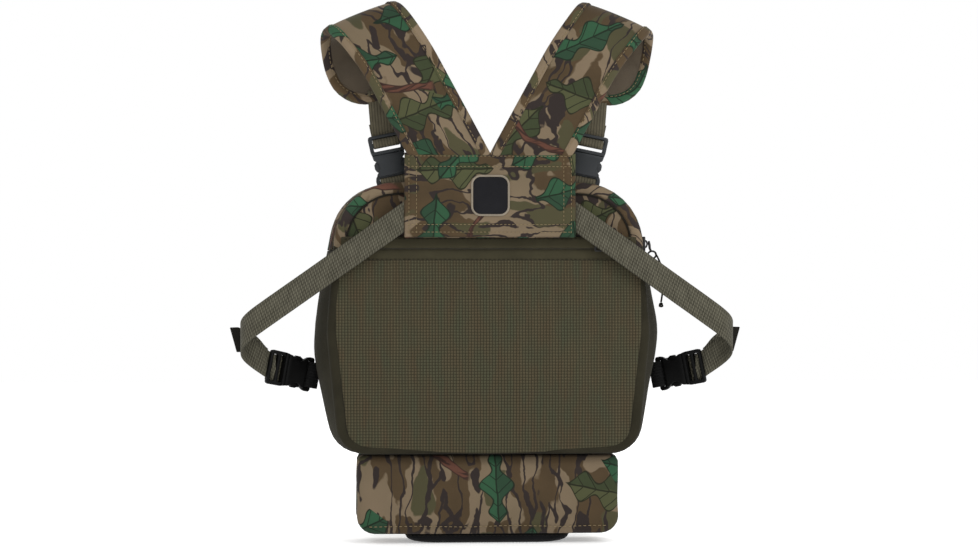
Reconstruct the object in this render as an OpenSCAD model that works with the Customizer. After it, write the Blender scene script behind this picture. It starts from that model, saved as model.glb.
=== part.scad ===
// Binocular harness pack: a zipped chest pack with a front-hinged lid, a lower
// pouch, and a shoulder harness with a yoke, padded straps and buckles.
// Millimetres. +X is the wearer's left-to-right as seen from behind the pack's
// back panel, +Y points away from the wearer, +Z is up.

/* [Pack] */
// Width of the pack at its widest, across the side gussets
pack_w = 284; // [260:1:300]
// Width of the pack between its two top corners' square points
top_w = 240; // [220:1:256]
// Width of the pack at its bottom corners
bottom_w = 246; // [230:1:256]
// Depth of the main compartment, back edge to front face
pack_depth = 100; // [90:1:120]
// Height of the pack's top above the standing surface
pack_top = 290; // [280:1:300]
// Height of the pack's bottom above the standing surface
pack_bottom = 72; // [66:1:80]
// Height of the line where the lid parts from the pack
lid_line = 236; // [230:1:244]
// Thickness of the padded walls
wall = 3; // [2:0.5:4]

/* [Lower pouch] */
// Width of the lower pouch
pouch_w = 210; // [190:1:220]
// Depth of the lower pouch
pouch_depth = 62; // [50:1:80]

/* [Front pocket] */
// Width of the front pocket
pocket_w = 204; // [180:1:220]
// How far the front pocket stands out
pocket_depth = 18; // [14:1:24]

/* [Harness] */
// Width of the yoke across the wearer's back
yoke_w = 136; // [120:1:150]
// Height of the yoke
yoke_h = 66; // [60:1:80]
// Width of a shoulder pad at the yoke
pad_w = 57; // [54:1:60]
// Thickness of a shoulder pad's foam and outer cover
pad_t = 5; // [4:0.5:8]
// Radius of the shoulder pads' turn at the top
pad_turn = 22; // [18:1:26]
// Width of all the webbing
web_w = 20; // [18:1:20]
// Thickness of the webbing
web_t = 1.6; // [1.2:0.1:2]

/* [Buckles] */
// Overall length of a side-release buckle
buckle_l = 40; // [38:1:42]
// Width of a side-release buckle
buckle_w = 28; // [27:0.5:29]
// Thickness of the buckle's socket
buckle_t = 9; // [8:0.5:10]

/* [Hidden] */

gap = 0.4;
band_back = 13;
panel_t = 4;
edge_t = 7;
mesh_t = 1.2;
lining_t = 0.8;
skin_gap = 0.05;
corner_r = 50;
foot_r = 24;
widest_z = 165;
arc_steps = 10;

// The pack's own y = 0 is the back panel's outer face, and its z = 0 is the
// standing surface. origin_y puts the frame at the middle of the whole depth.
yoke_front = -19.2;
front_pull_back = pack_depth + pocket_depth + 5.25;
origin_y = (yoke_front + front_pull_back) / 2;

lid_axis_y = pack_depth + 1.6;
lid_axis_z = lid_line;
flap_axis_y = 8 + pouch_depth + 1.6;
flap_axis_z = 69;

harness_axis_y = 9;
harness_axis_z = 286;

top_buckle = [75.5, harness_axis_y, 289.6];
top_buckle_lean = 11.5;
side_buckle = [142.2, 46.9, 134.5];
side_buckle_rise = 11.5;
side_buckle_turn = 28;

// Shoulder pad route: lean of the near leg and of the turn's axis, and lengths
pad_start = [33, -15, 312.4];
pad_lean = 28.5;
pad_fold = 22;
pad_near = 105;
pad_turned = 200;
pad_far = 38;

// Side strap route: it leaves the yoke's side, turns back and meets its buckle
side_start = [yoke_w / 2 + gap, -15, 262];
side_lean = 125;
side_fold = 90.4;
side_run = 141.3;
side_turn = 16;
side_return = 0.3;
side_tail = 30;
side_yaw = 6;

cord_d = 1.5;
cord_route = [[134.6, 6, 233.4], [136, 5.6, 231], [137.4, 5.2, 228], [138.6, 5, 225],
    [139.6, 4.8, 221.6], [140.3, 4.7, 218], [140.7, 4.7, 214.4], [140.8, 4.8, 210.8],
    [140.7, 5, 207.2], [140.4, 5.2, 203.6], [140, 5.4, 200], [139.5, 5.5, 196.4],
    [139.1, 5.5, 194]];

slider_arc = [73.8, 240];
slider_r = 50.6;

// ---- shared shapes -------------------------------------------------------

module at_origin() { translate([0, -origin_y, 0]) children(); }

// Draws an X-Z outline and gives it depth from y0 to y1
module along_y(y0, y1) {
    translate([0, y1, 0]) rotate([90, 0, 0]) linear_extrude(y1 - y0) children();
}

function unit(v) = v / norm(v);

// Arc that rounds the corner b between a and c with radius r
function round_corner(a, b, c, r) =
    let (p = unit(a - b), q = unit(c - b), half = acos(p * q) / 2,
         mid = b + unit(p + q) * r / sin(half), from = b + p * r / tan(half) - mid,
         turn = 180 - 2 * half, way = p[0] * q[1] - p[1] * q[0] > 0 ? -1 : 1)
    [for (i = [0 : arc_steps])
        let (t = way * turn * i / arc_steps)
        mid + [from[0] * cos(t) - from[1] * sin(t), from[0] * sin(t) + from[1] * cos(t)]];

// Outline through corners [x, z, radius] given for the right side, top first
function both_sides(right) = concat(right,
    [for (i = [len(right) - 1 : -1 : 0]) [-right[i][0], right[i][1], right[i][2]]]);
function rounded(corners) =
    let (n = len(corners))
    [for (i = [0 : n - 1])
        let (a = corners[(i + n - 1) % n], b = corners[i], c = corners[(i + 1) % n])
        each round_corner([a[0], a[1]], [b[0], b[1]], [c[0], c[1]], b[2])];

module pack_outline(inset) {
    polygon(rounded(both_sides([
        [top_w / 2 - inset, pack_top - inset, corner_r - inset],
        [pack_w / 2 - inset, widest_z, 120],
        [bottom_w / 2 - inset, pack_bottom + inset, foot_r - inset]])));
}

module band_outline(inset) {
    polygon(rounded(both_sides([
        [top_w / 2 - inset, pack_top - inset, corner_r - inset],
        [129.5 - inset, 170, 90],
        [bottom_w / 2 - 3 - inset, pack_bottom + 1 + inset, foot_r - inset]])));
}

module mesh_outline() {
    polygon(rounded(both_sides([[123, 226, 2], [122.5, 170, 60], [111, 79, 16]])));
}

module above(z) { translate([-200, z]) square([400, 400]); }
module below(z) { translate([-200, z - 400]) square([400, 400]); }

// Plate in the X-Z plane with four round corners
module plate(x0, x1, z0, z1, y0, y1, r) {
    along_y(y0, y1) polygon(rounded([[x0, z1, r], [x1, z1, r], [x1, z0, r], [x0, z0, r]]));
}

// ---- ribbons: flat straps that run, turn over a round fold and run on -----

// Direction and outward normal after turning t degrees about the fold
function fold_up(fold) = [sin(fold), 0, cos(fold)];
function fold_axis(fold) = [cos(fold), 0, -sin(fold)];
function turned_up(fold, t) = fold_up(fold) * cos(t) + [0, sin(t), 0];
function heading(lean, fold, t) =
    fold_axis(fold) * sin(lean - fold) + turned_up(fold, t) * cos(lean - fold);
function outward(fold, t) = fold_up(fold) * sin(t) - [0, cos(t), 0];

function turn_angle(s, run, radius, lean, fold, last) =
    min(last, max(0, (s - run) * cos(lean - fold) / radius * 180 / PI));
function turn_length(radius, lean, fold, last) =
    radius * last * PI / 180 / cos(lean - fold);

function ribbon_centre(s, run, radius, lean, fold, last) =
    let (t = turn_angle(s, run, radius, lean, fold, last),
         arc = turn_length(radius, lean, fold, t),
         rest = s - min(s, run) - arc)
    heading(lean, fold, 0) * min(s, run)
    + fold_axis(fold) * sin(lean - fold) * arc
    + radius * (fold_up(fold) * sin(t) + [0, 1 - cos(t), 0])
    + heading(lean, fold, t) * rest;

// One solid from rings of four corners
module ribbon_solid(rings) {
    n = len(rings);
    polyhedron(
        points = [for (ring = rings) each ring],
        faces = concat([[0, 2, 1], [0, 3, 2]],
            [for (i = [0 : n - 2], k = [0 : 3])
                let (a = 4 * i + k, b = 4 * i + (k + 1) % 4) each [[a, b, b + 4], [a, b + 4, a + 4]]],
            [[4 * n - 4, 4 * n - 3, 4 * n - 2], [4 * n - 4, 4 * n - 2, 4 * n - 1]]));
}

// Ring at distance s, along the direction cut: width w square to the strap,
// from depth n0 to n1 along the outward normal, moved aside by sway
function ribbon_ring(s, w, n0, n1, cut, run, radius, lean, fold, last, sway = 0) =
    let (t = turn_angle(s, run, radius, lean, fold, last),
         c = ribbon_centre(s, run, radius, lean, fold, last),
         go = heading(lean, fold, t), out = outward(fold, t),
         side = cut / norm(cut - go * (cut * go)))
    [for (e = [[-1, n0], [1, n0], [1, n1], [-1, n1]]) c + side * (e[0] * w / 2 + sway) + out * e[1]];

function evenly(a, b, n) = [for (i = [0 : n]) a + (b - a) * i / n];

// ---- shoulder pads and side straps -----------------------------------------

pad_arc = turn_length(pad_turn, pad_lean, pad_fold, pad_turned);
pad_len = pad_near + pad_arc + pad_far;
pad_round = 26;
pad_flare = 5;
pad_side_shift = 13;
pad_end_shift = 5;

// 0 to 1 with soft ends as s goes from a to b
function ease(s, a, b) =
    let (t = min(1, max(0, (s - a) / (b - a)))) t * t * (3 - 2 * t);

// The pad is cut in a curve: past its middle it drifts to its outer side, and its
// end turns back a little
function pad_sway(s) = pad_side_shift * ease(s, 75, pad_near + pad_arc)
    - pad_end_shift * ease(s, pad_len - 45, pad_len);

function pad_width(s) =
    let (full = pad_w + pad_flare * ease(s, 0.7 * pad_near, pad_near + pad_arc),
         left = pad_len - s)
    left >= pad_round ? full
        : full - 2 * pad_round + 2 * sqrt(max(0, pad_round * pad_round
            - (pad_round - left) * (pad_round - left)));

module pad_strip(n0, n1) {
    stations = concat([0], evenly(26, pad_near, 6), evenly(pad_near + 5, pad_near + pad_arc, 14),
        evenly(pad_len - pad_far + 5, pad_len - pad_round, 3),
        [for (a = [15 : 15 : 75]) pad_len - pad_round * (1 - sin(a))], [pad_len - 0.4]);
    translate(pad_start) ribbon_solid([for (s = stations)
        ribbon_ring(s, pad_width(s), n0, n1, s < 1 ? [1, 0, 0] : fold_axis(pad_fold),
            pad_near, pad_turn, pad_lean, pad_fold, pad_turned, pad_sway(s))]);
}

side_arc = turn_length(side_turn, side_lean, side_fold, 180);

side_len = side_run + side_arc + side_return;

function side_ring(s, n0, n1, cut) = ribbon_ring(s, web_w, n0, n1, cut,
    side_run, side_turn, side_lean, side_fold, 180);

module at_side_start() { translate(side_start) rotate([0, 0, side_yaw]) children(); }

module side_ribbon() {
    stations = concat(evenly(20, side_run, 5), evenly(side_run + 3, side_run + side_arc, 14),
        [side_len]);
    at_side_start() ribbon_solid(concat([side_ring(0, -web_t / 2, web_t / 2, [0, 0, -1])],
        [for (s = stations) side_ring(s, -web_t / 2, web_t / 2, fold_axis(side_fold))]));
}

// Free end of the side webbing: it lies behind the strap and points outwards
module side_tail_strip() {
    back = -heading(side_lean, side_fold, 180);
    square_cut = cross([0, 1, 0], back);
    at_side_start() ribbon_solid([for (k = [3.4, side_tail])
        [for (p = side_ring(side_len, 1.2, 1.2 + web_t, square_cut)) p + back * k]]);
}

// Webbing from the far end of a shoulder pad down to the top buckle
web_top = pad_start + ribbon_centre(pad_len, pad_near, pad_turn, pad_lean, pad_fold, pad_turned)
    + fold_axis(pad_fold) * (pad_side_shift - pad_end_shift) / cos(pad_lean - pad_fold);

module top_web_strip() {
    lean = [sin(top_buckle_lean), 0, cos(top_buckle_lean)];
    foot = top_buckle + lean * (buckle_l + gap);
    head = web_top - [0, 0, 3.8];
    side = [web_w / 2, 0, 0];
    tilt = [web_w / 2 * cos(top_buckle_lean), 0, -web_w / 2 * sin(top_buckle_lean)];
    half = [0, web_t / 2, 0];
    ribbon_solid([[foot - tilt + half, foot + tilt + half, foot + tilt - half, foot - tilt - half],
        [head - side + half, head + side + half, head + side - half, head - side - half]]);
}

// ---- buckle, drawn standing on its webbing bar at z = 0 --------------------

socket_l = 24;
bar_l = 8;
bar_t = 3.5;
window_z0 = 9.5;
window_z1 = 19.5;
prong_z = 22;
prong_x = 7.5;

module buckle_socket() {
    difference() {
        union() {
            plate(-12, 12, 1, socket_l, -buckle_t / 2, buckle_t / 2, 1.5);
            plate(-buckle_w / 2, buckle_w / 2, 0, bar_l, -bar_t / 2, bar_t / 2, 1.5);
        }
        for (s = [-1, 1]) translate([-15, s > 0 ? bar_t / 2 : -bar_t / 2 - 5, -1])
            cube([30, 5, bar_l]);
        plate(-10.6, 10.6, 2.6, 5.6, -6, 6, 1);
        translate([-10, -3, bar_l + 1]) cube([20, 6, 30]);
        for (x = [-13, 9]) translate([x, -2.6, window_z0]) cube([4, 5.2, window_z1 - window_z0]);
    }
}

module buckle_latch() {
    difference() {
        union() {
            plate(-buckle_w / 2, buckle_w / 2, socket_l + gap, buckle_l, -3, 3, 2);
            translate([-2.5, -2.2, 11]) cube([5, 4.4, socket_l + 2 - 11]);
        }
        plate(-10.8, 10.8, 27.5, 30.8, -6, 6, 1);
        plate(-10.8, 10.8, 33.4, 37.6, -6, 6, 1);
    }
}

// Spring prong on the +X side: a root barrel, an arm and a thumb pad
module buckle_prong() {
    translate([prong_x, 2.2, prong_z]) rotate([90, 0, 0]) cylinder(h = 4.4, r = 1.6, $fn = 40);
    along_y(-2.2, 2.2) polygon([[6, 22], [5.6, 11], [8.6, 10], [12.8, 12.4], [13.1, 15.4],
        [12.6, 17.6], [9.4, 19], [9, 22]]);
}

module at_top_buckle() { translate(top_buckle) rotate([0, top_buckle_lean, 0]) children(); }
module at_side_buckle() {
    translate(side_buckle) rotate([0, 0, -side_buckle_turn])
        rotate([0, 90 - side_buckle_rise, 0]) children();
}
module left_of() { mirror([1, 0, 0]) children(); }

// ---- zip slider lying on a face, with its travel along X --------------------

module zip_slider_body() {
    plate(-5, 5, -3.6, 3.6, -2.6, 0, 1.6);
    translate([-3, -3.5, -1.4]) cube([6, 1, 2.8]);
}
module zip_pull_tab() {
    difference() {
        plate(-19, 0.6, -2.8, 2.8, -5.2, -4, 1.2);
        plate(-17.4, -12.6, -1.2, 1.2, -6, -3, 0.6);
    }
}

// ---- pack ------------------------------------------------------------------

module back_panel() {
    at_origin() color("#4a4638") along_y(0, panel_t) band_outline(6);
}

module back_mesh_panel() {
    at_origin() color("#4f4a38") along_y(-mesh_t, -skin_gap) mesh_outline();
}

module back_zip_band() {
    at_origin() color("#444032") along_y(-mesh_t, -skin_gap)
        polygon(rounded(both_sides([[119, 243.6, 3], [121, 226.6, 3]])));
}

module back_edge_band() {
    at_origin() color("#5f503d") along_y(0, edge_t) difference() {
        band_outline(0);
        band_outline(6 - skin_gap);
    }
}

module main_shell() {
    at_origin() color("#35331f") {
        difference() {
            along_y(band_back, pack_depth) intersection() {
                pack_outline(0);
                below(lid_line - gap);
            }
            along_y(0, pack_depth - wall) pack_outline(wall);
        }
        along_y(edge_t + skin_gap, band_back + 0.1) difference() {
            intersection() { band_outline(1); below(lid_line - gap); }
            band_outline(7);
        }
    }
}

module shell_lining() {
    at_origin() color("#4d453b") difference() {
        along_y(band_back + 1, pack_depth - wall - skin_gap) intersection() {
            pack_outline(wall + skin_gap);
            below(lid_line - 4);
        }
        along_y(0, pack_depth - wall - lining_t) pack_outline(wall + lining_t);
    }
}

module side_wings() {
    at_origin() color("#4d453b") for (s = [0, 1]) mirror([s, 0, 0])
        translate([117, 26, 150]) cube([1.4, 60, 104]);
}

module floor_pad() {
    at_origin() color("#3a362c") plate(-108, 108, pack_bottom + 4.2, pack_bottom + 9.2,
        band_back + 3, pack_depth - 6, 2);
}

module pack_zip_tape() {
    dip_x = 104;
    at_origin() color("#2b2a22") along_y(edge_t + skin_gap, band_back - 0.4)
        intersection() {
            above(lid_line + gap);
            union() {
                difference() {
                    band_outline(1);
                    band_outline(3);
                    translate([-dip_x, 0]) square([2 * dip_x, 400]);
                }
                intersection() {
                    difference() { band_outline(5.6); band_outline(7.6); }
                    translate([-dip_x, 0]) square([2 * dip_x, 400]);
                }
                for (m = [0, 1]) mirror([m, 0]) intersection() {
                    difference() { band_outline(1); band_outline(7.6); }
                    translate([dip_x - 2, 240]) square([3, 100]);
                }
            }
        }
}

module lid_hinge_roll() {
    at_origin() color("#2b2a22") translate([-112, lid_axis_y, lid_axis_z])
        rotate([0, 90, 0]) cylinder(h = 224, r = 1.2, $fn = 32);
    at_origin() color("#2b2a22") translate([-112, pack_depth, lid_line - 8])
        cube([224, 1.6, 6.6]);
}

module front_pocket() {
    x = pocket_w / 2;
    y0 = pack_depth + skin_gap;
    y1 = pack_depth + pocket_depth;
    at_origin() color("#5b4d3c") difference() {
        plate(-x, x, 86, 220, y0, y1, 22);
        plate(-x + 2, x - 2, 88, 218, y0 + 1.5, y1 - 2, 20);
        translate([-x + 16, y1 - 4, 207]) cube([2 * x - 32, 10, 5]);
    }
}

module front_zip_band() {
    y1 = pack_depth + pocket_depth;
    at_origin() color("#2b2a22")
        plate(-pocket_w / 2 + 16.2, pocket_w / 2 - 16.2, 207.2, 211.8, y1 - 1.8, y1 - 0.6, 0.5);
}

module pouch_shell() {
    x = pouch_w / 2;
    at_origin() color("#5f503d") difference() {
        plate(-x, x, 8, pack_bottom - 0.6, 8, 8 + pouch_depth, 9);
        plate(-x + wall, x - wall, 11, pack_bottom - 3, 11, 5 + pouch_depth, 7);
        translate([-x + 12, pouch_depth, 20]) cube([2 * x - 24, 30, 42]);
    }
}

module pouch_base() {
    at_origin() color("#16161a") difference() {
        translate([-66, 14, 0]) cube([132, 50, 8]);
        translate([-60, 20, 2]) cube([120, 38, 10]);
    }
}

module pouch_hinge_roll() {
    at_origin() color("#2b2a22") translate([-90, flap_axis_y, flap_axis_z])
        rotate([0, 90, 0]) cylinder(h = 180, r = 1.1, $fn = 32);
}

module side_anchor_right() {
    at_origin() color("#34321f") at_side_buckle()
        translate([-web_w / 2, -1.2, -2.6]) cube([web_w, 2.4, 2.3]);
}
module side_anchor_left() { left_of() side_anchor_right(); }

module side_socket_right() { at_origin() color("#141414") at_side_buckle() buckle_socket(); }
module side_socket_left() { left_of() side_socket_right(); }
module side_latch_right() { at_origin() color("#101010") at_side_buckle() buckle_latch(); }
module side_latch_left() { left_of() side_latch_right(); }

module side_prong_right_lower() {
    at_origin() color("#101010") at_side_buckle() buckle_prong();
}
module side_prong_right_upper() {
    at_origin() color("#101010") at_side_buckle() mirror([1, 0, 0]) buckle_prong();
}
module side_prong_left_lower() { left_of() side_prong_right_lower(); }
module side_prong_left_upper() { left_of() side_prong_right_upper(); }

module side_strap_right() {
    at_origin() color("#626054") side_ribbon();
}
module side_strap_left() { left_of() side_strap_right(); }

module strap_tail_right() {
    at_origin() color("#1c1b18") side_tail_strip();
}
module strap_tail_left() { left_of() strap_tail_right(); }

// ---- lid and flap -------------------------------------------------------------

module lid_shell() {
    at_origin() color("#5f503d") difference() {
        along_y(band_back + gap, pack_depth) intersection() {
            pack_outline(0);
            above(lid_line + gap);
        }
        along_y(0, pack_depth - wall) pack_outline(wall);
        translate([-115, pack_depth - 1, lid_line]) cube([230, 2, 1.6]);
    }
}

module lid_lining() {
    at_origin() color("#4d453b") difference() {
        along_y(band_back + 4, pack_depth - wall - skin_gap) intersection() {
            pack_outline(wall + skin_gap);
            above(lid_line + 4);
        }
        along_y(0, pack_depth - wall - lining_t) pack_outline(wall + lining_t);
    }
}

module lid_zip_tape() {
    at_origin() color("#2b2a22") along_y(band_back + gap, band_back + gap + 3)
        intersection() {
            difference() {
                pack_outline(wall + skin_gap);
                pack_outline(wall + 4);
            }
            above(lid_line + gap);
        }
}

module pouch_flap() {
    y0 = 8 + pouch_depth + gap;
    at_origin() color("#5f503d") difference() {
        plate(-96, 96, 16, flap_axis_z - 1.2, y0, y0 + 2.4, 6);
        translate([-92, flap_axis_y, flap_axis_z]) rotate([0, 90, 0])
            cylinder(h = 184, r = 1.6, $fn = 32);
    }
}

// ---- harness --------------------------------------------------------------------

module top_anchor_right() {
    at_origin() color("#34321f") {
        translate([top_buckle[0] - web_w / 2, harness_axis_y, harness_axis_z])
            rotate([0, 90, 0]) cylinder(h = web_w, r = 1.2, $fn = 32);
        translate([top_buckle[0] - web_w / 2, harness_axis_y - 1.2, harness_axis_z])
            cube([web_w, 2.4, 2.6 - tan(top_buckle_lean) * web_w / 2]);
    }
}
module top_anchor_left() { left_of() top_anchor_right(); }

module top_socket_right() { at_origin() color("#2b3033") at_top_buckle() buckle_socket(); }
module top_socket_left() { left_of() top_socket_right(); }
module top_latch_right() { at_origin() color("#24282a") at_top_buckle() buckle_latch(); }
module top_latch_left() { left_of() top_latch_right(); }

module top_prong_right_outer() {
    at_origin() color("#24282a") at_top_buckle() buckle_prong();
}
module top_prong_right_inner() {
    at_origin() color("#24282a") at_top_buckle() mirror([1, 0, 0]) buckle_prong();
}
module top_prong_left_outer() { left_of() top_prong_right_outer(); }
module top_prong_left_inner() { left_of() top_prong_right_inner(); }

module top_webbing_right() { at_origin() color("#595245") top_web_strip(); }
module top_webbing_left() { left_of() top_webbing_right(); }

module shoulder_pad_right() { at_origin() color("#5f503d") pad_strip(-1.4, pad_t - 1.4); }
module shoulder_pad_left() { left_of() shoulder_pad_right(); }
module pad_lining_right() { at_origin() color("#4d453b") pad_strip(-2.6, -1.45); }
module pad_lining_left() { left_of() pad_lining_right(); }

module yoke_panel() {
    x = yoke_w / 2;
    at_origin() color("#5f503d") plate(-x, x, 246, 246 + yoke_h, -18.2, -12.4, 2);
}
module yoke_lining() {
    x = yoke_w / 2;
    at_origin() color("#4d453b") plate(-x + 1, x - 1, 247, 245 + yoke_h, -12.35, -11.2, 2);
}
module yoke_patch() {
    at_origin() color("#2c2a26") plate(-15, 15, 263, 295, yoke_front, -18.25, 7);
}

// ---- sliders, ring and cord -------------------------------------------------------

module back_zip_slider() {
    at_origin() color("#2a2a26") translate([103, -mesh_t - 0.3, 237]) zip_slider_body();
}
module back_zip_pull() {
    at_origin() color("#2a2a26") translate([103, -mesh_t - 0.3, 237]) zip_pull_tab();
}
module at_front_zip() {
    translate([78, pack_depth + pocket_depth + skin_gap, 209.5]) mirror([0, 1, 0]) children();
}
module front_zip_slider() { at_origin() color("#2a2a26") at_front_zip() zip_slider_body(); }
module front_zip_pull() { at_origin() color("#2a2a26") at_front_zip() zip_pull_tab(); }

module main_zip_slider() {
    at_origin() color("#151515") translate([slider_arc[0] + slider_r, 0, slider_arc[1] + 1])
    {
        translate([0, 8.2, -6]) cube([2.6, 4.4, 12]);
        translate([2.5, 9, -2.6]) cube([2, 2.8, 5.2]);
    }
}

// Pull: a stem from the slider and an oval ring that the cord is tied to
module main_zip_ring() {
    x = slider_arc[0] + slider_r + 5.1;
    at_origin() color("#0f0f0f") {
        plate(x, x + 2.4, 235.4, 243.4, 8.6, 12.2, 1);
        difference() {
            plate(x - 2, x + 6.4, 229, 235.8, 4, 12.2, 2.8);
            plate(x - 0.2, x + 4.6, 230.8, 234, 0, 20, 1.4);
            translate([x - 5, -1, 225]) cube([20, 8.2, 20]);
        }
    }
}

// Rings of the cord's tube around its route
function cord_ring(i) =
    let (n = len(cord_route), a = cord_route[max(0, i - 1)], b = cord_route[min(n - 1, i + 1)],
         go = unit(b - a), p = unit(cross(go, [0, 1, 0])), q = cross(go, p))
    [for (k = [0 : 7]) cord_route[i] + (p * cos(45 * k) + q * sin(45 * k)) * cord_d / 2];

module zip_cord() {
    n = len(cord_route);
    at_origin() color("#1a1916") polyhedron(
        points = [for (i = [0 : n - 1]) each cord_ring(i)],
        faces = concat([[for (k = [0 : 7]) k]],
            [for (i = [0 : n - 2], k = [0 : 7])
                let (a = 8 * i + k, b = 8 * i + (k + 1) % 8) each [[a, b + 8, b], [a, a + 8, b + 8]]],
            [[for (k = [7 : -1 : 0]) 8 * (n - 1) + k]]));
}

module zip_cord_knot() {
    end = cord_route[len(cord_route) - 1];
    at_origin() color("#1a1916") translate(end - [0, 0, 2.3]) sphere(r = 2, $fn = 24);
}

back_panel();
back_mesh_panel();
back_zip_band();
back_edge_band();
main_shell();
shell_lining();
side_wings();
floor_pad();
pack_zip_tape();
lid_hinge_roll();
front_pocket();
front_zip_band();
pouch_shell();
pouch_base();
pouch_hinge_roll();
side_anchor_left();
side_anchor_right();
side_socket_left();
side_socket_right();
side_latch_left();
side_latch_right();
side_strap_left();
side_strap_right();
strap_tail_left();
strap_tail_right();
lid_shell();
lid_lining();
lid_zip_tape();
pouch_flap();
top_anchor_left();
top_anchor_right();
top_socket_left();
top_socket_right();
top_latch_left();
top_latch_right();
top_webbing_left();
top_webbing_right();
shoulder_pad_left();
shoulder_pad_right();
pad_lining_left();
pad_lining_right();
yoke_panel();
yoke_lining();
yoke_patch();
top_prong_left_inner();
top_prong_left_outer();
top_prong_right_inner();
top_prong_right_outer();
side_prong_left_upper();
side_prong_left_lower();
side_prong_right_upper();
side_prong_right_lower();
back_zip_slider();
back_zip_pull();
front_zip_slider();
front_zip_pull();
main_zip_slider();
main_zip_ring();
zip_cord();
zip_cord_knot();
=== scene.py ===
"""Looks of the binocular harness pack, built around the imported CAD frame.

Lengths are millimetres in the pack's own frame: y = 0 is the back panel's outer
face and z = 0 the standing surface. P() turns such a point into the row frame.
"""
from contextlib import contextmanager
import math

import bmesh
import bpy
from mathutils import Matrix, Vector, noise


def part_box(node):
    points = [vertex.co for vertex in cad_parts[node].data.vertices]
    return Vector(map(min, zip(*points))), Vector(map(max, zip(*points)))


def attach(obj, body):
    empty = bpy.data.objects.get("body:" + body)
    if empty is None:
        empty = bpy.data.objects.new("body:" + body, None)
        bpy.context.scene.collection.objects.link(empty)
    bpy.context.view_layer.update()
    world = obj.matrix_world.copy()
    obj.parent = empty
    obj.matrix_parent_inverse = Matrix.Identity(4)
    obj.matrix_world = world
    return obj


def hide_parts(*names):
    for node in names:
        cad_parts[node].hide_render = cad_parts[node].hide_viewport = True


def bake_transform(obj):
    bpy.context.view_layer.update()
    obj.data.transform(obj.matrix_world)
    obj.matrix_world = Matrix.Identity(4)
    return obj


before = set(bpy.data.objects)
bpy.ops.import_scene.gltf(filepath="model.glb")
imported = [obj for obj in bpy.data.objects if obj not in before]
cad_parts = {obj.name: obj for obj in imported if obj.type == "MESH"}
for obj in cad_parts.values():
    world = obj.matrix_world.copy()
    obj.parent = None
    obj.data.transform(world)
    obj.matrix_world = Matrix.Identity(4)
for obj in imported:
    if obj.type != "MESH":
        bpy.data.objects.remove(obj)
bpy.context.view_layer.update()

MM = 0.001
PANEL_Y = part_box("back_panel")[0].y / MM


def P(x, y, z):
    return Vector((x * MM, (y + PANEL_Y) * MM, z * MM))


def own_box(node):
    """A CAD node's lowest and highest corners in the pack's own millimetres."""
    return [Vector((c.x / MM, c.y / MM - PANEL_Y, c.z / MM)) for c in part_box(node)]


# ---- driving dimensions, taken from the frame ----

shell_lo, shell_hi = own_box("main_shell")
PACK_TOP = own_box("lid_shell")[1].z
PACK_BOTTOM = shell_lo.z
PACK_DEPTH = shell_hi.y
LID_LINE = (shell_hi.z + own_box("lid_shell")[0].z) / 2
LID_BACK = own_box("lid_shell")[0].y
TOP_X = 120
FOOT_X = 123
YOKE_LO, YOKE_HI = own_box("yoke_panel")
POCKET_LO, POCKET_HI = own_box("front_pocket")
POUCH_LO, POUCH_HI = own_box("pouch_shell")
BASE_LO, BASE_HI = own_box("pouch_base")
FLAP_LO, FLAP_HI = own_box("pouch_flap")
PATCH_LO, PATCH_HI = own_box("yoke_patch")
WEB_W = 20
TOOTH_PITCH = 2.2
CREASE_ANGLE = math.radians(38)
MAIN_ZIP_Y = 10.4
WELT_Y = 98.9
HEM_Z = 14.5
BACK_ZIP_Z = 237

TOP_BUCKLE = Vector((75.5, 9, 289.6))
TOP_BUCKLE_LEAN = 11.5
SIDE_BUCKLE = Vector((142.2, 46.9, 134.5))
SIDE_BUCKLE_RISE = 11.5
SIDE_BUCKLE_TURN = 28

ZIP_CORD_ROUTE = [(134.6, 6, 233.4), (136, 5.6, 231), (137.4, 5.2, 228), (138.6, 5, 225),
    (139.6, 4.8, 221.6), (140.3, 4.7, 218), (140.7, 4.7, 214.4), (140.8, 4.8, 210.8),
    (140.7, 5, 207.2), (140.4, 5.2, 203.6), (140, 5.4, 200), (139.5, 5.5, 196.4),
    (139.1, 5.5, 194)]
ZIP_CORD_D = 1.5


# ---- camera ----

def add_camera():
    """Level view of the wearer's side, slightly from the left."""
    data = bpy.data.cameras.new("camera")
    camera = linked("camera", data)
    aim = P(0, 0, 216)
    azimuth = math.radians(-3.5)
    distance = 2.0
    field_w = 0.782
    camera.location = aim + distance * Vector((math.sin(azimuth), -math.cos(azimuth), 0))
    camera.rotation_euler = (aim - camera.location).to_track_quat("-Z", "Y").to_euler()
    data.sensor_fit = "HORIZONTAL"
    data.angle = 2 * math.atan(field_w / 2 / distance)
    bpy.context.scene.camera = camera


# ---- small geometry helpers ----

def lerp(a, b, t):
    return a + (b - a) * t


def smooth(t):
    t = min(1, max(0, t))
    return t * t * (3 - 2 * t)


def evenly(a, b, n):
    return [a + (b - a) * i / n for i in range(n + 1)]


def rounded(corners, steps=8):
    """Closed outline through corners (x, z, radius) with round corners."""
    points = []
    for i, (x, z, r) in enumerate(corners):
        b = Vector((x, z))
        p = (Vector(corners[i - 1][:2]) - b).normalized()
        q = (Vector(corners[(i + 1) % len(corners)][:2]) - b).normalized()
        half = math.acos(max(-1, min(1, p.dot(q)))) / 2
        mid = b + (p + q).normalized() * r / math.sin(half)
        start = b + p * r / math.tan(half) - mid
        turn = (math.pi - 2 * half) * (-1 if p.x * q.y - p.y * q.x > 0 else 1)
        for k in range(steps + 1):
            t = turn * k / steps
            points.append(mid + Vector((start.x * math.cos(t) - start.y * math.sin(t),
                start.x * math.sin(t) + start.y * math.cos(t))))
    return points


def both_sides(right):
    return right + [(-x, z, r) for x, z, r in reversed(right)]


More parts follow.
